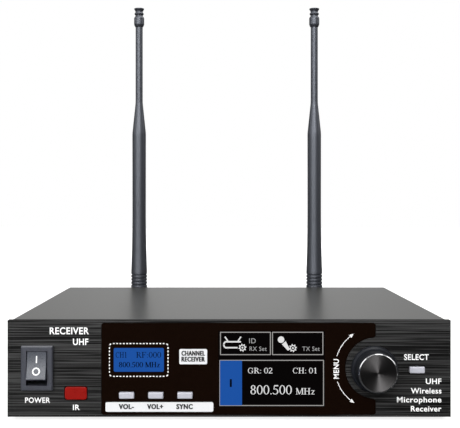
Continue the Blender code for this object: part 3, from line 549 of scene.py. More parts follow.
def dot(x, z):
    return [circle((x, z), STEM / 2, 12)]


LETTERS = {
    " ": (0.28, []),
    ".": (0.26, [dot(0.10, 0.07)]),
    ":": (0.30, [dot(0.12, 0.07), dot(0.12, 0.56)]),
    "0": (0.60, [loop(0.27, 0.5, 0.27, 0.5)]),
    "1": (0.56, [*stem(0.28, ends=(0,)), stroke(0.28, 0.97, 0.10, 0.84, HAIR)]),
    "2": (0.60, [bowl(0.26, 0.72, 0.24, 0.28, 165, -38), stroke(0.42, 0.60, 0.07, 0.06, 0.10),
                 stroke(0.03, 0.06, 0.53, 0.06, 0.12)]),
    "5": (0.60, [stroke(0.14, 0.94, 0.50, 0.94, 0.12), stroke(0.15, 0.97, 0.10, 0.53, HAIR),
                 bowl(0.22, 0.31, 0.29, 0.31, 120, -150)]),
    "8": (0.60, [loop(0.27, 0.75, 0.21, 0.25), loop(0.27, 0.27, 0.25, 0.27)]),
    "C": (0.78, [bowl(0.38, 0.5, 0.36, 0.5, 48, 312), stroke(0.64, 0.66, 0.64, 0.97, HAIR)]),
    "F": (0.68, [*stem(0.15), stroke(0.10, 0.96, 0.58, 0.96, HAIR), stroke(0.57, 1, 0.57, 0.76, HAIR),
                 stroke(0.15, 0.52, 0.42, 0.52, HAIR), stroke(0.42, 0.40, 0.42, 0.64, HAIR)]),
    "G": (0.84, [bowl(0.38, 0.5, 0.36, 0.5, 48, 300), stroke(0.64, 0.66, 0.64, 0.97, HAIR),
                 stroke(0.62, 0.07, 0.62, 0.42, STEM), stroke(0.48, 0.42, 0.76, 0.42, HAIR)]),
    "H": (0.84, [*stem(0.15), *stem(0.62), stroke(0.15, 0.52, 0.62, 0.52, HAIR)]),
    "M": (1.00, [*stem(0.13, HAIR), *stem(0.82), stroke(0.14, 0.98, 0.46, 0.04, STEM),
                 stroke(0.46, 0.02, 0.78, 0.98, HAIR)]),
    "R": (0.78, [*stem(0.15), bowl(0.20, 0.74, 0.38, 0.26, 90, -90), stroke(0.36, 0.48, 0.64, 0.03, STEM),
                 stroke(0.54, 0.03, 0.76, 0.03, HAIR)]),
    "z": (0.52, [stroke(0.05, 0.61, 0.44, 0.61, HAIR * 1.3), stroke(0.38, 0.60, 0.11, 0.06, STEM * 0.8),
                 stroke(0.06, 0.05, 0.46, 0.05, HAIR * 1.3)]),
}
SLABS = {}


def letter_slab(letter):
    """One letter's slab, made once."""
    if letter not in SLABS:
        bm = bmesh.new()
        for outlines in LETTERS[letter][1]:
            bm.from_mesh(flat_mesh(outlines, -INK / 2, INK / 2))
        SLABS[letter] = mesh_of("letter", bm)
    return SLABS[letter]


def serif(words, left, right, baseline, height):
    """Words in the displays' letters, as one slab between two x positions."""
    bm = bmesh.new()
    along = 0.0
    for letter in words:
        before = len(bm.verts)
        bm.from_mesh(letter_slab(letter))
        bm.verts.ensure_lookup_table()
        bmesh.ops.translate(bm, vec=(along, 0, 0), verts=bm.verts[before:])
        along += LETTERS[letter][0]
    across = [v.co.x for v in bm.verts]
    stretch = (right - left) / (max(across) - min(across))
    bmesh.ops.translate(bm, vec=(-min(across), 0, 0), verts=bm.verts)
    bmesh.ops.scale(bm, vec=(stretch, 1, height), verts=bm.verts)
    bmesh.ops.translate(bm, vec=(left, 0, baseline), verts=bm.verts)
    return mesh_of("words", bm)


def artwork(name, parts, y, material, slot):
    """Joins slabs and outlines into one printed piece, standing just off a surface at y."""
    bm = bmesh.new()
    for part in parts:
        mesh = part if isinstance(part, bpy.types.Mesh) else flat_mesh(part, -INK / 2, INK / 2)
        bm.from_mesh(mesh)
    bmesh.ops.translate(bm, vec=(0, y - INK / 2, 0), verts=bm.verts)
    return show(from_bmesh(name, bm, material), slot)


# The casing
WINDOW_CORNER = 0.0007
CHANNEL_W, CHANNEL_H = 0.0238, 0.0113
SCREEN_LEFT, SCREEN_RIGHT = -0.0051, 0.0453
SCREEN_BOTTOM, SCREEN_TOP = 0.0067, 0.0428
SCREEN_AT = ((SCREEN_LEFT + SCREEN_RIGHT) / 2, (SCREEN_BOTTOM + SCREEN_TOP) / 2)
SCREEN_W, SCREEN_H = SCREEN_RIGHT - SCREEN_LEFT, SCREEN_TOP - SCREEN_BOTTOM
SCREEN_CORNER = 0.0003
KEY_NODES = ("vol_down_button", "vol_up_button", "sync_button", "select_button")
NOTCH, NOTCH_R = (0.0696, 0.0251), 0.0147  # the round bite beside the knob
DC_RADIUS = 0.0045  # the DC inlet's sleeve
XLR_HOLE_R, JACK_HOLE_R, DC_HOLE_R, AERIAL_HOLE_R = 0.0119, 0.0047, 0.00475, 0.0050
KEY_LIP = 0.0010  # how far a key's flange reaches past its cap
KEY_GAP = 0.00025
LENS_DROP = 0.0005  # the fascia reaches this much lower than its CAD solid


def key_face(node):
    """The middle, the width and the height of a key's cap."""
    low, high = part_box(node)
    at = ((low.x + high.x) / 2, (low.z + high.z) / 2)
    return at, high.x - low.x - 2 * KEY_LIP, high.z - low.z - 2 * KEY_LIP


def key_hole(node):
    """A rounded cutter that leaves a thin gap round a key."""
    at, width, height = key_face(node)
    outline = round_rect(at, width + 2 * KEY_GAP, height + 2 * KEY_GAP, 0.0007)
    return plate("key_hole", [outline], FACE - PAST, PANEL_HIGH.y + PAST)


def lens_outline(grow=0.0):
    """The fascia: a rounded plate with a round bite for the knob and softened bite corners."""
    corner, bite = 0.0012 + grow, NOTCH_R - grow
    low, high = LENS_LOW, LENS_HIGH
    left, right, bottom, top = low.x - grow, high.x + grow, low.z - LENS_DROP - grow, high.z + grow
    soft = 0.0012
    # The small arc that joins the right edge to the bite is centred between the two.
    height = math.sqrt((bite + soft) ** 2 - (NOTCH[0] - (right - soft)) ** 2)
    swing = math.degrees(math.atan2(height, right - soft - NOTCH[0]))
    upper, lower = (right - soft, NOTCH[1] + height), (right - soft, NOTCH[1] - height)
    return [
        *arc((left + corner, bottom + corner), corner, 180, 270),
        *arc((right - corner, bottom + corner), corner, 270, 360),
        *arc(lower, soft, 0, 180 - swing, 6),
        *arc(NOTCH, bite, 360 - swing, swing, 40),
        *arc(upper, soft, 180 + swing, 360, 6),
        *arc((right - corner, top - corner), corner, 0, 90),
        *arc((left + corner, top - corner), corner, 90, 180),
    ]


def front_panel():
    panel = box("panel_plate", PANEL_LOW, PANEL_HIGH, BRUSHED)
    switch_w, switch_h = 0.0136, 0.0198
    ir_w, ir_h = 0.0111, 0.00665
    lens_gap, shaft_hole_r = 0.0002, 0.0038
    switch_hole = round_rect((SWITCH_AT.x, SWITCH_AT.z), switch_w, switch_h, 0.0008)
    ir_hole = round_rect((IR_AT.x, IR_AT.z), ir_w, ir_h, 0.0013)
    tools = [
        plate("recess", [lens_outline(lens_gap)], FACE - PAST, LENS_HIGH.y + CLEAR),
        plate("switch_hole", [switch_hole], FACE - PAST, 0),
        plate("ir_hole", [ir_hole], FACE - PAST, 0),
        y_rod("encoder_hole", KNOB_AT.x, KNOB_AT.z, FACE - PAST, 0, shaft_hole_r),
        *[key_hole(node) for node in KEY_NODES],
    ]
    cut(panel, *tools)
    soften(panel, 0.00030)
    # Faces that don't look to the front or the back take the dark edge colour, which paints shade along the
    # panel's edges and bevels.
    panel.data.materials.append(SHADED_EDGE)
    for face in panel.data.polygons:
        facing = abs(face.normal.y)
        face.material_index = int(facing < 0.95)
    show(panel, "brushed_panel", "front_panel")


def fascia():
    lens = plate("fascia_plate", [lens_outline()], LENS_LOW.y, LENS_HIGH.y, ACRYLIC)
    channel = middle("channel_display")
    windows = [
        round_rect((channel.x, channel.z), CHANNEL_W, CHANNEL_H, WINDOW_CORNER),
        round_rect(SCREEN_AT, SCREEN_W, SCREEN_H, SCREEN_CORNER),
    ]
    tools = [plate(f"window_{i}", [o], LENS_LOW.y - PAST, 0) for i, o in enumerate(windows)]
    cut(lens, *tools, *[key_hole(node) for node in KEY_NODES[:3]])
    soften(lens, 0.00012)
    show(lens, "black_acrylic", "fascia_lens")


def screw_holes(node):
    low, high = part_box(node)
    left, right, radius = low.x - PAST, high.x + PAST, 0.00175
    spots = [middle(f"cover_screw_{end}_left") for end in ("front", "rear")]
    return [rod("hole", (left, at.y, at.z), (right, at.y, at.z), radius, segments=24) for at in spots]


def cover():
    """A sheet folded over two long edges, open at the front, the rear and the bottom."""
    low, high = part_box("top_cover")
    fold = 0.0011
    x = high.x - fold
    outer = [(high.x, low.z), *arc((x, high.z - fold), fold, 0, 90), *arc((-x, high.z - fold), fold, 90, 180)]
    inner = [
        (low.x + SHEET, low.z),
        *arc((-x, high.z - fold), fold - SHEET, 180, 90, 2),
        *arc((x, high.z - fold), fold - SHEET, 90, 0, 2),
        (high.x - SHEET, low.z),
    ]
    shell = plate("cover_shell", [[*outer, (low.x, low.z), *inner]], low.y, high.y, PAINT)
    cut(shell, *screw_holes("top_cover"))
    soften(shell, 0.00025, 2, 50)
    show(shell, "painted_steel", "top_cover")


def chassis():
    low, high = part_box("chassis")
    side_top = low.z + 0.012
    floor = box("tray", (low.x, low.y, low.z), (high.x, high.y, low.z + SHEET), PAINT)
    walls = [
        box("side_left", (low.x, low.y, low.z), (low.x + SHEET, high.y, side_top)),
        box("side_right", (high.x - SHEET, low.y, low.z), (high.x, high.y, side_top)),
        box("rear_wall", (low.x, high.y - SHEET, low.z), (high.x, high.y, high.z)),
    ]
    fuse(floor, *walls)
    xlr, jack, dc = middle("xlr_socket"), middle("jack_nut"), middle("dc_inlet")
    dc_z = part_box("dc_inlet")[1].z - DC_RADIUS
    holes = [(xlr.x, xlr.z, XLR_HOLE_R), (jack.x, jack.z, JACK_HOLE_R), (dc.x, dc_z, DC_HOLE_R)]
    sockets = [middle(f"aerial_socket_{side}") for side in SIDES]
    holes += [(socket.x, socket.z, AERIAL_HOLE_R) for socket in sockets]
    tools = [y_rod("hole", x, z, high.y - PAST, high.y + PAST, r) for x, z, r in holes]
    cut(floor, *tools, *screw_holes("chassis"))
    merge_flat(floor)
    soften(floor, 0.00020, 2, 50)
    floor.name = "chassis_tray"
    show(floor, "painted_steel", "chassis")


def feet():
    for end in ("front", "rear"):
        for side in SIDES:
            node = f"foot_{end}_{side}"
            low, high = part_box(node)
            at, r = (low + high) / 2, (high.x - low.x) / 2
            profile = [
                (0, high.z), (r, high.z), (r * 0.93, 0), (r * 0.45, 0), (r * 0.38, 0.0008), (0, 0.0008),
            ]
            foot = turned(f"rubber_foot_{end}_{side}", rounded(profile, 0.0006), (at.x, at.y, 0), "Z", FOOT)
            show(foot, "foot_rubber", node)


def cross_recess(head, axis_point, direction, size, depth):
    """Cuts a cross-point recess into a screw head that faces along direction."""
    direction = Vector(direction)
    across = [Vector((0, 0, 1)), direction.cross(Vector((0, 0, 1)))]
    tools = []
    for i, long_way in enumerate(across):
        other = across[1 - i]
        corner = long_way * size + other * (size * 0.22) + direction * depth
        low = [min(a, b) for a, b in zip(axis_point - corner, axis_point + corner)]
        high = [max(a, b) for a, b in zip(axis_point - corner, axis_point + corner)]
        tools.append(box(f"recess_{i}", low, high))
    return cut(head, *tools)


def cover_screws():
    for end in ("front", "rear"):
        for side, sign in zip(SIDES, (-1, 1)):
            node = f"cover_screw_{end}_{side}"
            low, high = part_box(node)
            at = (low + high) / 2
            tip, inner = (low.x, high.x) if sign < 0 else (high.x, low.x)
            rise, reach, r = 0.0017, abs(tip - inner) - 0.0017, (high.z - low.z) / 2
            profile = [
                (0, rise), (r * 0.55, rise * 0.97), (r * 0.85, rise * 0.7), (r, rise * 0.25), (r, 0),
                (0.00145, 0), (0.00145, -reach), (0, -reach),
            ]
            face = tip - sign * rise
            screw = turned(f"pan_screw_{end}_{side}", profile, (0, 0, 0), "X", ZINC, 32)
            screw.data.transform(Matrix.Translation((face, at.y, at.z)) @ Matrix.Diagonal((sign, 1, 1, 1)))
            if sign < 0:
                screw.data.flip_normals()
            cross_recess(screw, Vector((tip, at.y, at.z)), (sign, 0, 0), 0.0015, 0.0009)
            show(screw, "zinc_steel", node)


# The power switch
def power_switch():
    low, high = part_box("switch_housing")
    x, z = SWITCH_AT.x, SWITCH_AT.z
    pocket_w, pocket_h, pocket_end = 0.0100, 0.0163, FACE + 0.009
    body_half_w, body_half_h, body_end = 0.0065, 0.0096, FACE + 0.014
    blade_half_w, blade_half_h, blade_rise = 0.0024, 0.0004, 0.005
    size = (high.x - low.x, high.z - low.z)
    bezel = cushion("switch_bezel", (x, z), size, 0.0004, low.y, FACE - 0.0001, 0.00050, 1, SWITCH)
    body = block("body", x, z, body_half_w, body_half_h, FACE - 0.0005, body_end)
    blades = [
        block("blade", x, z + rise, blade_half_w, blade_half_h, FACE + 0.013, high.y)
        for rise in (-blade_rise, blade_rise)
    ]
    fuse(bezel, body, *blades)
    pocket = plate("pocket", [round_rect((x, z), pocket_w, pocket_h, 0.0004)], low.y - PAST, pocket_end)
    cut(bezel, pocket)
    soften(bezel, 0.00010, 1, 50)
    show(bezel, "black_plastic", "switch_housing")


ROCKER_TILT = math.radians(12)
ROCKER_PIVOT = Vector((SWITCH_AT.x, FACE + 0.004, SWITCH_AT.z))


def tilted(mesh):
    """Moves a mesh from the level rocker at the pivot to the rocker's resting tilt."""
    mesh.transform(Matrix.Translation(ROCKER_PIVOT) @ Matrix.Rotation(-ROCKER_TILT, 4, "X"))


def rocker():
    half_w, half, face, dish = 0.00465, 0.0066, 0.0074, 0.0006
    front = [(-face + dish * (1 - (i / 10) ** 2), half * i / 10) for i in range(-10, 11)]
    back = [(0.001, 0.0072), (0.0024, 0.0050), (0.0024, -0.0050), (0.001, -0.0072)]
    mesh = flat_mesh([front + back], -half_w, half_w)
    # The outline was drawn as (depth, height), so it is turned from (x, z) to (y, z).
    mesh.transform(Matrix.Rotation(math.pi / 2, 4, "Z"))
    bm = bmesh.new()
    bm.from_mesh(mesh)
    bmesh.ops.recalc_face_normals(bm, faces=bm.faces)
    key = from_bmesh("rocker_key", bm, ROCKER)
    soften(key, 0.00030, 1, 40)
    tilted(key.data)
    show(key, "black_plastic", "power_rocker", body="rocker")
    marks = [
        [bar((0, 0.0012), (0, 0.0045), 0.00055)],
        [circle((0, -0.0027), 0.00185), circle((0, -0.0027), 0.00125)],
    ]
    for name, outline in zip(("rocker_on_mark", "rocker_off_mark"), marks):
        mark = plate(name, outline, -0.00005, 0.00005, WHITE_INK)
        for vertex in mark.data.vertices:
            height = vertex.co.z / half
            vertex.co.y += -face + dish * (1 - height**2)
        tilted(mark.data)
        show(mark, "black_plastic", body="rocker")


# Windows, keys and the knob
def infrared_window():
    low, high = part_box("ir_window")
    lip = 0.0012
    size = (high.x - low.x - 2 * lip - 0.0003, high.z - low.z - 2 * lip - 0.0003)
    at = (IR_AT.x, IR_AT.z)
    window = cushion("ir_filter", at, size, 0.0012, low.y, high.y, 0.00030, 2, FILTER)
    flange = box("flange", (low.x, BEHIND_PANEL, low.z), (high.x, PANEL_HIGH.y + 0.0013, high.z))
    fuse(window, flange)
    show(window, "red_filter", "ir_window")
    low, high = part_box("ir_emitter")
    r = 0.0025
    dome = [(x, low.y + r - y) for x, y in arc((0, 0), r, 0, 90, 10)]
    profile = [(0, high.y), (0.0029, high.y), (0.0029, high.y - 0.001), (r, high.y - 0.001), *dome]
    at = (low + high) / 2
    lamp = turned("infrared_lamp", profile, (at.x, 0, at.z), "Y", RESIN, 32)
    show(lamp, "lamp_resin", "ir_emitter")


def keys():
    for node in KEY_NODES:
        low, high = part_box(node)
        at, width, height = key_face(node)
        name = node.replace("button", "key_cap")
        cap = cushion(name, at, (width, height), 0.0005, low.y, BEHIND_PANEL + 0.0004, 0.00060, 3, KEYS)
        flange = box("lip", (low.x, BEHIND_PANEL, low.z), (high.x, BEHIND_PANEL + 0.001, high.z))
        stem = y_rod("stem", *at, BEHIND_PANEL + 0.0007, high.y, 0.0016, segments=24)
        fuse(cap, flange, stem)
        show(cap, "grey_keys", node, body=node.replace("button", "key"))


def knob():
    """A plastic body with a flared skirt, a dark spun face and a diamond-cut rim."""
    at = (KNOB_AT.x, 0, KNOB_AT.z)
    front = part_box("knob_face")[0].y
    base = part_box("knob")[1].y
    rim, bore = front + 0.0002, 0.0032
    profile = [
        (0, front + 0.0016), (bore, front + 0.0016), (bore, front + 0.0065), (0.0078, front + 0.0065),
        (0.0078, base), (0.01105, base), (0.01105, base - 0.0009), (0.0107, base - 0.0017),
        (0.0100, base - 0.0022), (0.0096, base - 0.0030), (0.0094, rim + 0.0008), (0.0092, rim + 0.0004),
        (0.0088, rim + 0.0004), (0.0088, rim + 0.0008), (0, rim + 0.0008),
    ]
    body = turned("knob_body", rounded(profile, 0.0003), at, "Y", KNOB_SKIN, 96)
    show(body, "black_plastic", "knob", body="menu_knob")
    edge_r = 0.0089
    chamfer = [
        (edge_r - 0.0005, rim + 0.0009), (edge_r + 0.0001, rim + 0.0009), (edge_r + 0.0001, rim + 0.0003),
        (edge_r - 0.0002, rim - 0.0001), (edge_r - 0.0005, rim - 0.0001),
    ]
    edge = turned("knob_bright_edge", chamfer, at, "Y", BRIGHT, 96, ring=True, smooth_below=20)
    show(edge, "spun_metal", body="menu_knob")
    disc_r = edge_r - 0.00055
    profile = [(0, rim + 0.0009), (disc_r, rim + 0.0009), (disc_r, rim - 0.0001), (0, rim + 0.0003)]
    disc = turned("knob_spun_face", profile, at, "Y", SPUN, 96)
    show(disc, "spun_metal", "knob_face", body="menu_knob")


# The displays and the printing
def screen(name, node, centre, width, height, corner, material):
    """A screen that fills its window with a hair's gap, with its module behind the panel."""
    low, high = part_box(node)
    outline = round_rect(centre, width - 0.0001, height - 0.0001, corner)
    glass = plate(name, [outline], SCREEN_Y, PANEL_HIGH.y, material)
    fuse(glass, box("module", (low.x, BEHIND_PANEL, low.z), high))
    show(glass, "display_glass", node)


def channel_display():
    at = middle("channel_display")
    screen(
        "channel_screen", "channel_display", (at.x, at.z), CHANNEL_W, CHANNEL_H, WINDOW_CORNER, BLUE_LCD
    )
    text = [
        serif("CH1", -0.0537, -0.0486, 0.03005, 0.0027),
        serif("RF:000", -0.0440, -0.0322, 0.03005, 0.0027),
        *[serif("800.500 MHz", shift - 0.0522, shift - 0.0329, 0.0255, 0.0025) for shift in (0, BOLD)],
    ]
    artwork("channel_screen_text", text, SCREEN_Y, LCD_TEXT, "display_glass")


def gear(centre):
    """A small cog with a round hub, as a list of filled groups."""
    teeth, radius = 8, 0.0019
    wheel = []
    for i in range(teeth * 4):
        angle = 2 * math.pi * (i + 0.5) / (teeth * 4)
        r = radius if i % 4 < 2 else radius * 0.72
        wheel.append((centre[0] + r * math.cos(angle), centre[1] + r * math.sin(angle)))
    return [[wheel, circle(centre, radius * 0.52, 20)], [circle(centre, radius * 0.24, 12)]]


def receiver_icon(x, z):
    """A little receiver with two aerials and a cog, drawn from the body's middle."""
    stroke = 0.0007
    groups = [
        [bar((x - 0.0032, z + 0.0014), (x + 0.0038, z + 0.0014), stroke)],
        [bar((x - 0.0032, z - 0.0014), (x + 0.0022, z - 0.0014), stroke)],
        [ring_band((x - 0.0029, z + 0.0001), 0.0014, stroke, 90, 180)],
        [ring_band((x - 0.0029, z - 0.0001), 0.0014, stroke, 180, 270)],
        [bar((x - 0.0038, z + 0.0038), (x - 0.0022, z + 0.0014), stroke * 0.9)],
        [bar((x + 0.0038, z + 0.0038), (x + 0.0022, z + 0.0014), stroke * 0.9)],
    ]
    return groups + gear((x + 0.0045, z - 0.0014))


def microphone_icon(x, z):
    """A ball-headed microphone and a cog, drawn from the ball's middle."""
    corners = ((0.0004, 0.0022), (0.0022, 0.0007), (0.0042, 0.0046), (0.0033, 0.0053))
    handle = [(x + right, z - down) for right, down in corners]
    return [[circle((x, z), 0.00155)], [handle]] + gear((x + 0.0056, z - 0.0040))


def main_display():
    """The colour screen with its three frames, its channel bar and the number on it."""
    screen("main_screen", "main_display", SCREEN_AT, SCREEN_W, SCREEN_H, SCREEN_CORNER, TFT_BLACK)
    left, split, right = -0.0046, 0.02005, 0.0449
    low, high, floor, top = 0.0313, 0.0423, 0.0072, 0.0290
    half_gap, stroke = 0.0006, 0.00040
    panes = (
        (left, split, low, high, half_gap),
        (split, right, low, high, half_gap),
        (left, right, floor, top, 0),
    )
    frames = [
        outlined(((x1 + x2) / 2, (z1 + z2) / 2), x2 - x1 - gap, z2 - z1, 0.0002, stroke)
        for x1, x2, z1, z2, gap in panes
    ]
    artwork("screen_frames", frames, SCREEN_Y, TFT_GREY, "display_glass")
    inset, bar_end = stroke * 0.7, 0.0061
    bar_at = ((left + inset + bar_end) / 2, (floor + top) / 2)
    stripe = round_rect(bar_at, bar_end - left - inset, top - floor - 2 * inset, 0.0001)
    artwork("screen_channel_bar", [[stripe]], SCREEN_Y - INK, BLUE_LCD, "display_glass")
    number = lettering("1", 0.0003, 0.0013, 0.0162, 0.0037)
    artwork("screen_channel_number", [number], SCREEN_Y - 2 * INK, LCD_TEXT, "display_glass")


def main_display_text():
    white = [
        serif("GR: 02", 0.0089, 0.0205, 0.0226, 0.0027),
        serif("CH: 01", 0.0302, 0.0414, 0.0226, 0.0027),
        serif("800.500", 0.0101, 0.0297, 0.01265, 0.0044),
        serif("MHz", 0.0316, 0.0405, 0.01265, 0.0030),
        *receiver_icon(0.0018, 0.0362),
        *microphone_icon(0.0246, 0.0386),
    ]
    artwork("screen_text", white, SCREEN_Y, TFT_WHITE, "display_glass")
    dim = [
        lettering("ID", 0.0095, 0.0126, 0.0369, 0.0023),
        lettering("RX Set", 0.0097, 0.0178, 0.0333, 0.0020),
        lettering("TX Set", 0.0347, 0.0429, 0.0333, 0.0020),
    ]
    artwork("screen_small_text", dim, SCREEN_Y, TFT_DIM, "display_glass")


def dashed_frame(centre, width, height, radius, stroke, dash, across, up):
    """A dashed rounded frame: so many dashes along the top and so many up a side."""
    x, z = width / 2 - stroke / 2, height / 2 - stroke / 2
    groups = []
    for count, half, level, flip in ((across, x - radius, z, False), (up, z - radius, x, True)):
        pitch = 2 * half / count
        for i in range(count):
            along = -half + pitch * (i + 0.5)
            for side in (-level, level):
                ends = [(along - dash / 2, side), (along + dash / 2, side)]
                ends = [(b, a) if flip else (a, b) for a, b in ends]
                ends = [(centre[0] + a, centre[1] + b) for a, b in ends]
                groups.append([bar(*ends, stroke)])
    for sx, sz, start in ((1, 1, 0), (-1, 1, 90), (-1, -1, 180), (1, -1, 270)):
        corner = (centre[0] + sx * (x - radius), centre[1] + sz * (z - radius))
        groups.append([ring_band(corner, radius, stroke, start + 25, start + 65, 8)])
    return groups


def arrow_arc(start, end):
    """A thin arc round the knob that ends in an arrow head."""
    radius, width = 0.0194, 0.00030
    tip = arc(NOTCH, radius, end, end, 1)[0]
    before = arc(NOTCH, radius, end - math.copysign(5.6, end - start), end, 1)[0]
    along = (Vector(tip) - Vector(before)).normalized()
    across = along.orthogonal() * 0.00085
    base = Vector(tip) - along * 0.0021
    head = [tip, tuple(base + across), tuple(base - across)]
    stop = end - math.copysign(4.5, end - start)
    return [[ring_band(NOTCH, radius, width, start, stop, 24)], [head]]


def fascia_printing():
    y = LENS_LOW.y
    channel = middle("channel_display")
    frame_parts = dashed_frame((channel.x, channel.z), 0.0282, 0.0160, 0.0013, 0.00048, 0.00080, 16, 8)
    arrows = arrow_arc(163, 123) + arrow_arc(199, 238)
    menu = lettering("MENU", 0, 0.0093, 0, 0.0024, PRINT_WEIGHT)
    menu.transform(Matrix.Translation((0.0519, 0, 0.0201)) @ Matrix.Rotation(-math.pi / 2, 4, "Y"))
    artwork("fascia_white_print", [*frame_parts, *arrows, menu], y, WHITE_INK, "black_acrylic")
    strip = round_rect((-0.0330, 0.00672), 0.0511, 0.0046, 0.0008)
    label = round_rect((-0.0170, 0.03055), 0.0132, 0.0072, 0.0007)
    artwork("fascia_labels", [[strip], [label]], y, LABEL, "black_acrylic")
    labels = [
        ("VOL-", -0.0522, -0.0452, 0.0058, 0.0022),
        ("VOL+", -0.0388, -0.0313, 0.0058, 0.0022),
        ("SYNC", -0.0249, -0.0173, 0.0058, 0.0022),
        ("CHANNEL", -0.0225, -0.0115, 0.0311, 0.0021),
        ("RECEIVER", -0.0225, -0.0115, 0.0283, 0.0021),
    ]
    # Each word is printed three times, a hair apart, which makes it bold.
    words = [
        lettering(text, left + shift, right + shift, base, height, 0.030, 1.14)
        for text, left, right, base, height in labels
        for shift in (-BOLD, 0, BOLD)
    ]
    artwork("fascia_label_text", words, y - INK, BLACK_INK, "black_acrylic")


def panel_printing():
    rows = [
        ("RECEIVER", -0.0850, -0.0664, 0.0412, 0.0031),
        ("UHF", -0.0740, -0.0667, 0.0361, 0.0029),
        ("POWER", -0.0967, -0.0848, 0.0087, 0.0024),
        ("IR", -0.0740, -0.0708, 0.0053, 0.0024),
        ("SELECT", 0.0829, 0.0946, 0.0290, 0.0026),
        ("UHF", 0.0932, 0.1006, 0.0176, 0.0025),
        ("Wireless", 0.0861, 0.1006, 0.0131, 0.0025),
        ("Microphone", 0.0795, 0.1006, 0.0089, 0.0025),
        ("Receiver", 0.0861, 0.1006, 0.0046, 0.0025),
    ]
    words = [lettering(*row, PRINT_WEIGHT) for row in rows]
    artwork("panel_white_print", words, FACE, WHITE_INK, "brushed_panel")


def rear_printing():
    """Plain names above the rear sockets, read from behind."""
    names = {
        "ANT A": ("aerial_socket_left", 0.0085, 0.0105),
        "ANT B": ("aerial_socket_right", 0.0085, 0.0105),
        "BALANCED OUT": ("xlr_socket", 0.0190, 0.0150),
        "LINE OUT": ("jack_nut", 0.0125, 0.0095),
        "DC 12V": ("dc_inlet", 0.0100, 0.0080),
    }
    words = []
    for text, (node, width, rise) in names.items():
        at = middle(node)
        word = lettering(text, -width / 2, width / 2, at.z + rise, 0.0019, 0.018)
        word.transform(Matrix.Translation((at.x, 0, 0)) @ Matrix.Rotation(math.pi, 4, "Z"))
        words.append(word)
    artwork("rear_white_print", words, REAR_WALL + INK, WHITE_INK, "painted_steel")


# The aerials
WHIP_FOOT = 0.0346
PIN_HOLE_R = 0.0016


def whip_profile(pivot_z):
    """The ribbed foot, the tapered body and the thin stem, from the foot up."""
    foot, top = WHIP_FOOT, 0.2235
    radii = [(0, foot), (0.0047, foot), (0.00545, foot + 0.0009), (0.00545, 0.0464), (0.00535, 0.0470)]
    for groove in (0.0475, 0.0498, 0.0520, 0.0543):
        radii += [(0.00540, groove - 0.00045), (0.00482, groove - 0.00010), (0.00482, groove + 0.00010)]
        radii += [(0.00540, groove + 0.00045), (0.00543, groove + 0.0008), (0.00543, groove + 0.0014)]
    # The body narrows quickly above the ribs and then hardly at all.
    body = [0.0563 + 0.0400 * i / 12 for i in range(13)]
    radii += [(0.00458 + 0.00084 * (1 - (z - body[0]) / 0.0400) ** 1.8, z) for z in body]
    radii += [(0.00459, 0.1190), (0.00463, 0.1500), (0.00458, 0.1512), (0.00447, 0.1524)]
    radii += [(0.00255, 0.1708), (0.00246, 0.1720), (0.00242, 0.1740)]
    radii += [(0.00242, top), (0, top)]
    return [(r, z - pivot_z) for r, z in reversed(radii)]


# The moulded tip: radii and how far they lie below its top, with two necks and a ring between them
TIP_DROPS = (
    (0, 0), (0.00325, 0), (0.00340, 0.0002), (0.00340, 0.0005), (0.00290, 0.0013), (0.00250, 0.0021),
    (0.00250, 0.0026), (0.00300, 0.0032), (0.00325, 0.0037), (0.00300, 0.0042), (0.00255, 0.0047),
    (0.00250, 0.0052), (0.00310, 0.0059), (0.00345, 0.0066), (0.00345, 0.0110), (0.00300, 0.0121),
)


def aerial_whip(side):
    node = f"aerial_whip_{side}"
    pivot = middle(f"fold_pin_{side}")
    at = (pivot.x, pivot.y, pivot.z)
    whip = turned(f"rod_{side}", whip_profile(pivot.z), at, "Z", RUBBER, 64)
    x, y, z = at
    half, neck_half, disc_r = 0.0023, 0.0036, 0.0048
    disc = rod("disc", (x - half, y, z), (x + half, y, z), disc_r, segments=64)
    neck = box("neck", (x - half, y - neck_half, z), (x + half, y + neck_half, WHIP_FOOT + 0.002))
    fuse(whip, disc, neck)
    cut(whip, rod("hole", (x - 0.01, y, z), (x + 0.01, y, z), PIN_HOLE_R, segments=32))
    settle(weld(whip))
    show(whip, "aerial_rubber", node, body=f"{side}_aerial")
    start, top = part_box(node)[1].z + 0.0001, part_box(f"aerial_tip_{side}")[1].z
    profile = [(r, top - drop - pivot.z) for r, drop in TIP_DROPS]
    profile += [(0.00255, start - pivot.z), (0, start - pivot.z)]
    tip = turned(f"rod_tip_{side}", rounded(profile, 0.00025), at, "Z", RUBBER, 48, smooth_below=50)
    show(tip, "aerial_rubber", f"aerial_tip_{side}", body=f"{side}_aerial")


def aerial_axes(side):
    """Where the swing axis (x and z) and the fold pin (y) of an aerial lie."""
    low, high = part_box(f"aerial_knuckle_{side}")
    pin_low, pin_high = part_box(f"fold_pin_{side}")
    return (low.x + high.x) / 2, (pin_low.y + pin_high.y) / 2, (low.z + high.z) / 2


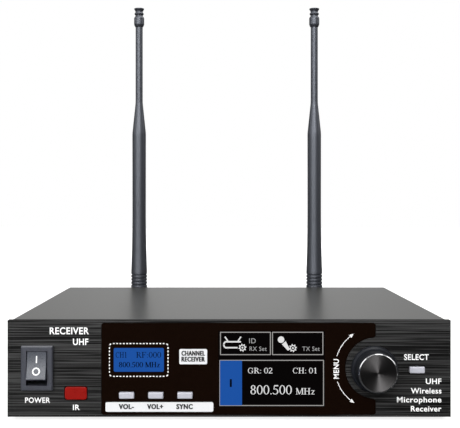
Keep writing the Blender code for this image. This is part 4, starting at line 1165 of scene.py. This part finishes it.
def knuckle(side):
    """The plug with the two ears that hold the fold pin."""
    node = f"aerial_knuckle_{side}"
    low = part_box(node)[0]
    x, pivot_y, z = aerial_axes(side)
    floor, ear_r, ear_x = pivot_y - 0.0056, 0.0050, 0.0048
    profile = [
        (0, floor + 0.0004), (0.0070, floor + 0.0004), (0.0070, floor - 0.0014), (0.0064, floor - 0.0022),
        (0.0040, floor - 0.0022), (0.0040, floor - 0.0044), (0.0047, floor - 0.0044),
        (0.0047, floor - 0.0058), (0.0039, floor - 0.0058), (0.0039, low.y), (0.0027, low.y),
        (0.0027, floor - 0.0064), (0, floor - 0.0064),
    ]
    plug = turned(f"knuckle_{side}", rounded(profile, 0.0003, 2), (x, 0, z), "Y", PLASTIC, 64)
    root = floor - 0.0008 - pivot_y
    outline = [(root, ear_r), (root, -ear_r), *arc((0, 0), ear_r, -90, 90, 24)]
    mesh = flat_mesh([outline], -ear_x, ear_x)
    mesh.transform(Matrix.Translation((x, pivot_y, z)) @ Matrix.Rotation(math.pi / 2, 4, "Z"))
    fuse(plug, link("ears", mesh))
    slot = box("slot", (x - 0.0026, floor, z - 0.009), (x + 0.0026, pivot_y + 0.009, z + 0.012))
    hole = rod("hole", (x - 0.01, pivot_y, z), (x + 0.01, pivot_y, z), PIN_HOLE_R, segments=32)
    cut(plug, slot, hole)
    merge_flat(plug)
    soften(plug, 0.00025)
    show(plug, "black_plastic", node, body=f"{side}_knuckle")


def fold_pin(side):
    node = f"fold_pin_{side}"
    low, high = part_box(node)
    reach, r = (high.x - low.x) / 2, 0.0024
    head = reach - 0.0009
    profile = [
        (0, reach), (r * 0.5, reach), (r * 0.92, reach - 0.0003), (r, head), (0.0013, head), (0.0013, -head),
        (r, -head), (r * 0.92, 0.0003 - reach), (r * 0.5, -reach), (0, -reach),
    ]
    pin = turned(f"pivot_pin_{side}", profile, aerial_axes(side), "X", NICKEL, 40)
    show(pin, "nickel_brass", node, body=f"{side}_knuckle")


def hex_nut(name, node, x, z, radius, bore):
    low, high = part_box(node)
    nut = y_rod(name, x, z, low.y, high.y, radius, NICKEL, 6)
    cut(nut, y_rod("bore", x, z, low.y - PAST, high.y + PAST, bore))
    soften(nut, 0.0003)
    show(nut, "nickel_brass", node)


def bayonet(side):
    """The knurled quarter-turn ring."""
    node = f"bayonet_ring_{side}"
    low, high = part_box(node)
    x, z, outer = (low.x + high.x) / 2, (low.z + high.z) / 2, (high.x - low.x) / 2
    start, end, bore = low.y, high.y, 0.0051
    profile = [
        (0.0043, end), (outer - 0.0006, end), (outer, end - 0.0006), (outer, start + 0.0050),
        (outer - 0.0007, start + 0.0044), (outer - 0.0007, start + 0.0005), (outer - 0.0012, start),
        (bore, start), (bore, start + 0.0032), (0.0061, start + 0.0032), (0.0061, start + 0.0066),
        (bore, start + 0.0066), (bore, end - 0.0015), (0.0043, end - 0.0015),
    ]
    ring = turned(f"bayonet_{side}", profile, (x, 0, z), "Y", NICKEL, 96, ring=True)
    ridges = []
    for i in range(24):
        angle = 2 * math.pi * i / 24
        cx, cz = x + (outer + 0.0001) * math.cos(angle), z + (outer + 0.0001) * math.sin(angle)
        ridges.append(y_rod("flute", cx, cz, start + 0.0058, end - 0.0012, 0.00042, segments=10))
    cut(ring, block("slots", x, z, 0.0013, 0.0061, start - PAST, start + 0.0038), *ridges)
    show(ring, "nickel_brass", node, body=f"{side}_ring")


def aerial_socket(side):
    """The bulkhead socket with its lugs and its hexagon flange, and the nut behind the wall."""
    node = f"aerial_socket_{side}"
    ring_low, ring_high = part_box(f"bayonet_ring_{side}")
    x, z = (ring_low.x + ring_high.x) / 2, (ring_low.z + ring_high.z) / 2
    low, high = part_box(node)
    wall = REAR_WALL
    step = high.y - 0.0100
    profile = [
        (0, step + 0.0072), (0.0012, step + 0.0072), (0.0012, step + 0.0020), (0.00415, step + 0.0020),
        (0.00415, high.y), (0.0048, high.y), (0.0048, step), (0.0060, step), (0.0060, wall + CLEAR),
        (0.0046, wall + CLEAR), (0.0046, wall - 0.0110), (0.0032, wall - 0.0110), (0.0032, wall - 0.0145),
        (0.0008, wall - 0.0145), (0.0008, low.y), (0, low.y),
    ]
    socket = turned(f"socket_{side}", profile, (x, 0, z), "Y", NICKEL, 64)
    flange = y_rod("flange", x, z, wall + CLEAR, step, 0.0076, segments=6)
    lug_y = high.y - 0.0044
    lugs = [
        rod("lug", (x + sign * 0.0045, lug_y, z), (x + sign * 0.0057, lug_y, z), 0.001, segments=20)
        for sign in (-1, 1)
    ]
    fuse(socket, flange, *lugs)
    soften(socket, 0.00015)
    show(socket, "nickel_brass", node)
    hex_nut(f"hex_nut_{side}", f"socket_nut_{side}", x, z, 0.0075, 0.0049)


def aerials():
    for side in SIDES:
        aerial_whip(side)
        knuckle(side)
        fold_pin(side)
        bayonet(side)
        aerial_socket(side)


# The rear connectors
XLR_SCREWS = ("xlr_screw_1", "xlr_screw_2")


def xlr():
    low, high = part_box("xlr_socket")
    at = (low + high) / 2
    back = high.y - 0.002
    spots = [middle(node) for node in XLR_SCREWS]
    outline = round_rect((at.x, at.z), high.x - low.x, high.z - low.z, 0.0022)
    shell = plate("xlr_shell", [outline], back, high.y, PLASTIC)
    cup_r, bore_r, clearance_r, sink_r = 0.0117, 0.0082, 0.0017, 0.0030
    past, bore_floor, sink_floor = high.y + PAST, low.y + 0.0035, high.y - 0.0013
    fuse(shell, y_rod("cup", at.x, at.z, low.y, back + 0.0005, cup_r, segments=64))
    tools = [y_rod("bore", at.x, at.z, bore_floor, past, bore_r, segments=64)]
    for spot in spots:
        tools.append(y_rod("clearance", spot.x, spot.z, 0, past, clearance_r, segments=32))
        tools.append(y_rod("sink", spot.x, spot.z, sink_floor, past, sink_r, segments=32))
    cut(shell, *tools)
    merge_flat(shell)
    soften(shell, 0.0003)
    show(shell, "nickel_brass", "xlr_socket")


def xlr_screws():
    for i, node in enumerate(XLR_SCREWS, 1):
        low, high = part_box(node)
        spot, top = middle(node), high.y
        profile = [
            (0, top), (0.0022, top - 0.0001), (0.0027, top - 0.0004), (0.0027, top - 0.0008),
            (0.0014, top - 0.0008), (0.0014, low.y), (0, low.y),
        ]
        screw = turned(f"flange_screw_{i}", profile, (spot.x, 0, spot.z), "Y", ZINC, 32)
        cross_recess(screw, Vector((spot.x, top, spot.z)), (0, 1, 0), 0.0014, 0.0006)
        show(screw, "zinc_steel", node)


def xlr_contacts():
    """The black insert and its three pins."""
    at = middle("xlr_socket")
    low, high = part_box("xlr_insert")
    insert = y_rod("pin_insert", at.x, at.z, low.y, low.y + 0.003, 0.0079, CHIP, 64)
    soften(insert, 0.0003)
    show(insert, "black_plastic", "xlr_insert")
    for number, angle in enumerate((90, 210, 330), 1):
        px, pz = arc((at.x, at.z), 0.0038, angle, angle, 1)[0]
        foot = low.y + 0.0029
        profile = [
            (0, high.y), (0.0006, high.y - 0.0001), (0.00115, high.y - 0.0010), (0.00115, foot), (0, foot),
        ]
        pin = turned(f"contact_pin_{number}", rounded(profile, 0.0003), (px, 0, pz), "Y", NICKEL, 32)
        show(pin, "nickel_brass")


def jack():
    low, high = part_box("jack_socket")
    x, z = middle("jack_nut").x, middle("jack_nut").z
    bush_r, bore_r = 0.0045, 0.00325
    body = box("jack_body", low, (high.x, BODY_END, high.z), PLASTIC, 0.0005)
    fuse(body, y_rod("bush", x, z, BUSH_START, high.y, bush_r, segments=64))
    cut(body, y_rod("bore", x, z, low.y + 0.004, high.y + PAST, bore_r))
    soften(body, 0.0002)
    show(body, "black_plastic", "jack_socket")
    hex_nut("jack_hex_nut", "jack_nut", x, z, 0.0070, 0.0047)


def dc_inlet():
    low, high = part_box("dc_inlet")
    x, z = (low.x + high.x) / 2, high.z - DC_RADIUS
    bore_r = 0.00285
    body = box("inlet_body", low, (high.x, BODY_END, high.z), PLASTIC, 0.0004)
    fuse(body, y_rod("sleeve", x, z, BUSH_START, high.y, DC_RADIUS))
    cut(body, y_rod("bore", x, z, low.y + 0.0045, high.y + PAST, bore_r, segments=40))
    soften(body, 0.0003)
    show(body, "black_plastic", "dc_inlet")
    tip, foot = high.y - 0.0015, low.y + 0.0040
    profile = [(0, tip), (0.0006, high.y - 0.0016), (0.0010, high.y - 0.0024), (0.0010, foot), (0, foot)]
    pin = turned("inlet_pin", profile, (x, 0, z), "Y", NICKEL, 24)
    show(pin, "nickel_brass")


def inner_nodes():
    """The pieces inside the case keep their CAD shape and get their real materials."""
    looks = {
        "vol_down_switch": CHIP, "vol_up_switch": CHIP, "sync_switch": CHIP, "select_switch": CHIP,
        "encoder_body": ZINC, "encoder_shaft": ZINC, "encoder_nut": NICKEL,
        "rf_shield_left": ZINC, "rf_shield_right": ZINC,
        "front_board": SOLDER_MASK, "main_board": SOLDER_MASK,
        "ribbon_cable": JACKET, "switch_lead": RED_JACKET,
        "aerial_lead_left": PLASTIC, "aerial_lead_right": PLASTIC,
    }
    for node, material in looks.items():
        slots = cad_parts[node].data.materials
        slots.clear()
        slots.append(material)


# The studio
def area_light(name, place, target, size, watts):
    light = bpy.data.lights.new(name, "AREA")
    light.shape = "RECTANGLE"
    light.size, light.size_y = size
    light.energy = watts
    obj = link(name, light, location=place)
    obj.rotation_euler = (Vector(target) - Vector(place)).to_track_quat("-Z", "Y").to_euler()
    obj.visible_camera = False
    return obj


def reflected_sky(tree):
    """What reflections see: bright far behind the unit and above it, dark in front."""
    place = add_node(tree, "ShaderNodeTexCoord")
    split = add_node(tree, "ShaderNodeSeparateXYZ")
    tree.links.new(place.outputs["Generated"], split.inputs["Vector"])
    levels = {
        "Y": [(-0.2, 0.06), (0.55, 0.12), (0.88, 0.32), (0.97, 0.66), (1.0, 1.08)],
        "Z": [(0.15, 0.0), (0.45, 0.45), (1.0, 0.60)],
    }
    behind, above = (
        ramp(tree, remap(tree, split.outputs[axis], 0.0, 1.0, -1.0, 1.0),
             [((along + 1) / 2, (level,) * 3) for along, level in stops])
        for axis, stops in levels.items()
    )
    both = add_node(tree, "ShaderNodeMix")
    both.data_type, both.blend_type = "RGBA", "ADD"
    both.inputs[0].default_value = 1.0
    tree.links.new(behind, both.inputs[6])
    tree.links.new(above, both.inputs[7])
    return both.outputs[2]


def backdrop():
    """White to the camera, the sky to reflections, and a dim soft light to everything else."""
    world = bpy.data.worlds.new("backdrop")
    world.use_nodes = True
    tree = world.node_tree
    seen = reflected_sky(tree)
    path = add_node(tree, "ShaderNodeLightPath")
    for ray, level in (("Is Diffuse Ray", SOFT_LIGHT), ("Is Camera Ray", 1.0)):
        choice = add_node(tree, "ShaderNodeMix")
        choice.data_type = "RGBA"
        tree.links.new(path.outputs[ray], choice.inputs[0])
        tree.links.new(seen, choice.inputs[6])
        choice.inputs[7].default_value = (level, level, level, 1.0)
        seen = choice.outputs[2]
    tree.links.new(seen, tree.nodes["Background"].inputs["Color"])
    bpy.context.scene.world = world
    bpy.context.scene.view_settings.view_transform = "Standard"


def floor():
    """Pale paper that the camera sees lit up to white, so that only the unit's shadow shows on it."""
    bm = bmesh.new()
    bmesh.ops.create_grid(bm, x_segments=1, y_segments=1, size=3.0)
    made = surface("floor_paper", (0.50, 0.50, 0.50), 0.9, 30, 0.01, 0.02)
    tree = made.node_tree
    place = add_node(tree, "ShaderNodeTexCoord")
    away = add_node(tree, "ShaderNodeVectorMath")
    away.operation = "LENGTH"
    tree.links.new(place.outputs["Object"], away.inputs[0])
    glow = remap(tree, away.outputs["Value"], 0.80, 1.0, 0.35, 1.0)
    path = add_node(tree, "ShaderNodeLightPath")
    seen = add_node(tree, "ShaderNodeMath")
    seen.operation = "MULTIPLY"
    tree.links.new(glow, seen.inputs[0])
    tree.links.new(path.outputs["Is Camera Ray"], seen.inputs[1])
    shader = tree.nodes["Principled BSDF"]
    shader.inputs["Emission Color"].default_value = (1.0, 1.0, 1.0, 1.0)
    tree.links.new(seen.outputs["Value"], shader.inputs["Emission Strength"])
    paper = from_bmesh("floor", bm, made)
    paper.visible_glossy = False


def studio():
    backdrop()
    floor()
    area_light("key", (-0.02, -1.25, 0.52), (0, 0, 0.08), (0.6, 0.6), 9)
    area_light("side", (-0.75, -1.05, 0.42), (0, 0, 0.10), (0.5, 0.7), 9)
    area_light("top", (0.0, -0.45, 1.20), (0, 0, 0.03), (1.3, 0.7), 8)
    # Cards that only show in reflections, such as the knob's bright edge and the sheen of its face.
    cards = {
        "card_left": ((-0.95, -0.10, 0.62), (0.40, 0.90), 2.5),
        "card_right": ((1.05, 0.12, 0.62), (0.40, 0.80), 2.5),
        "card_above": ((0.25, -0.08, 1.00), (1.90, 0.40), 8),
        "card_front": ((0.24, -1.12, 0.72), (0.30, 0.30), 5),
    }
    for name, (place, size, watts) in cards.items():
        area_light(name, place, (0.05, 0, 0.03), size, watts).visible_diffuse = False
    area_light("rear", (0.3, 1.6, 0.9), (0, 0, 0.05), (1.0, 1.0), 12).visible_glossy = False


def camera():
    """Level, square on to the panel, and shifted instead of turned."""
    distance, height = 0.412, 0.1036
    lens = bpy.data.cameras.new("camera")
    lens.sensor_width, lens.lens = 36.0, 68.05
    lens.shift_x, lens.shift_y = 0.0189, -0.0252
    eye = link("camera", lens, location=(-0.0037, FACE - distance, height))
    eye.rotation_euler = (math.pi / 2, 0, 0)
    bpy.context.scene.camera = eye


BUILDERS = (
    front_panel, fascia, cover, chassis, feet, cover_screws, power_switch, rocker, infrared_window, keys,
    knob, channel_display, main_display, main_display_text, fascia_printing, panel_printing, rear_printing,
    aerials, xlr, xlr_screws, xlr_contacts, jack, dc_inlet, inner_nodes, studio, camera,
)


def main():
    for build in BUILDERS:
        build()


main()
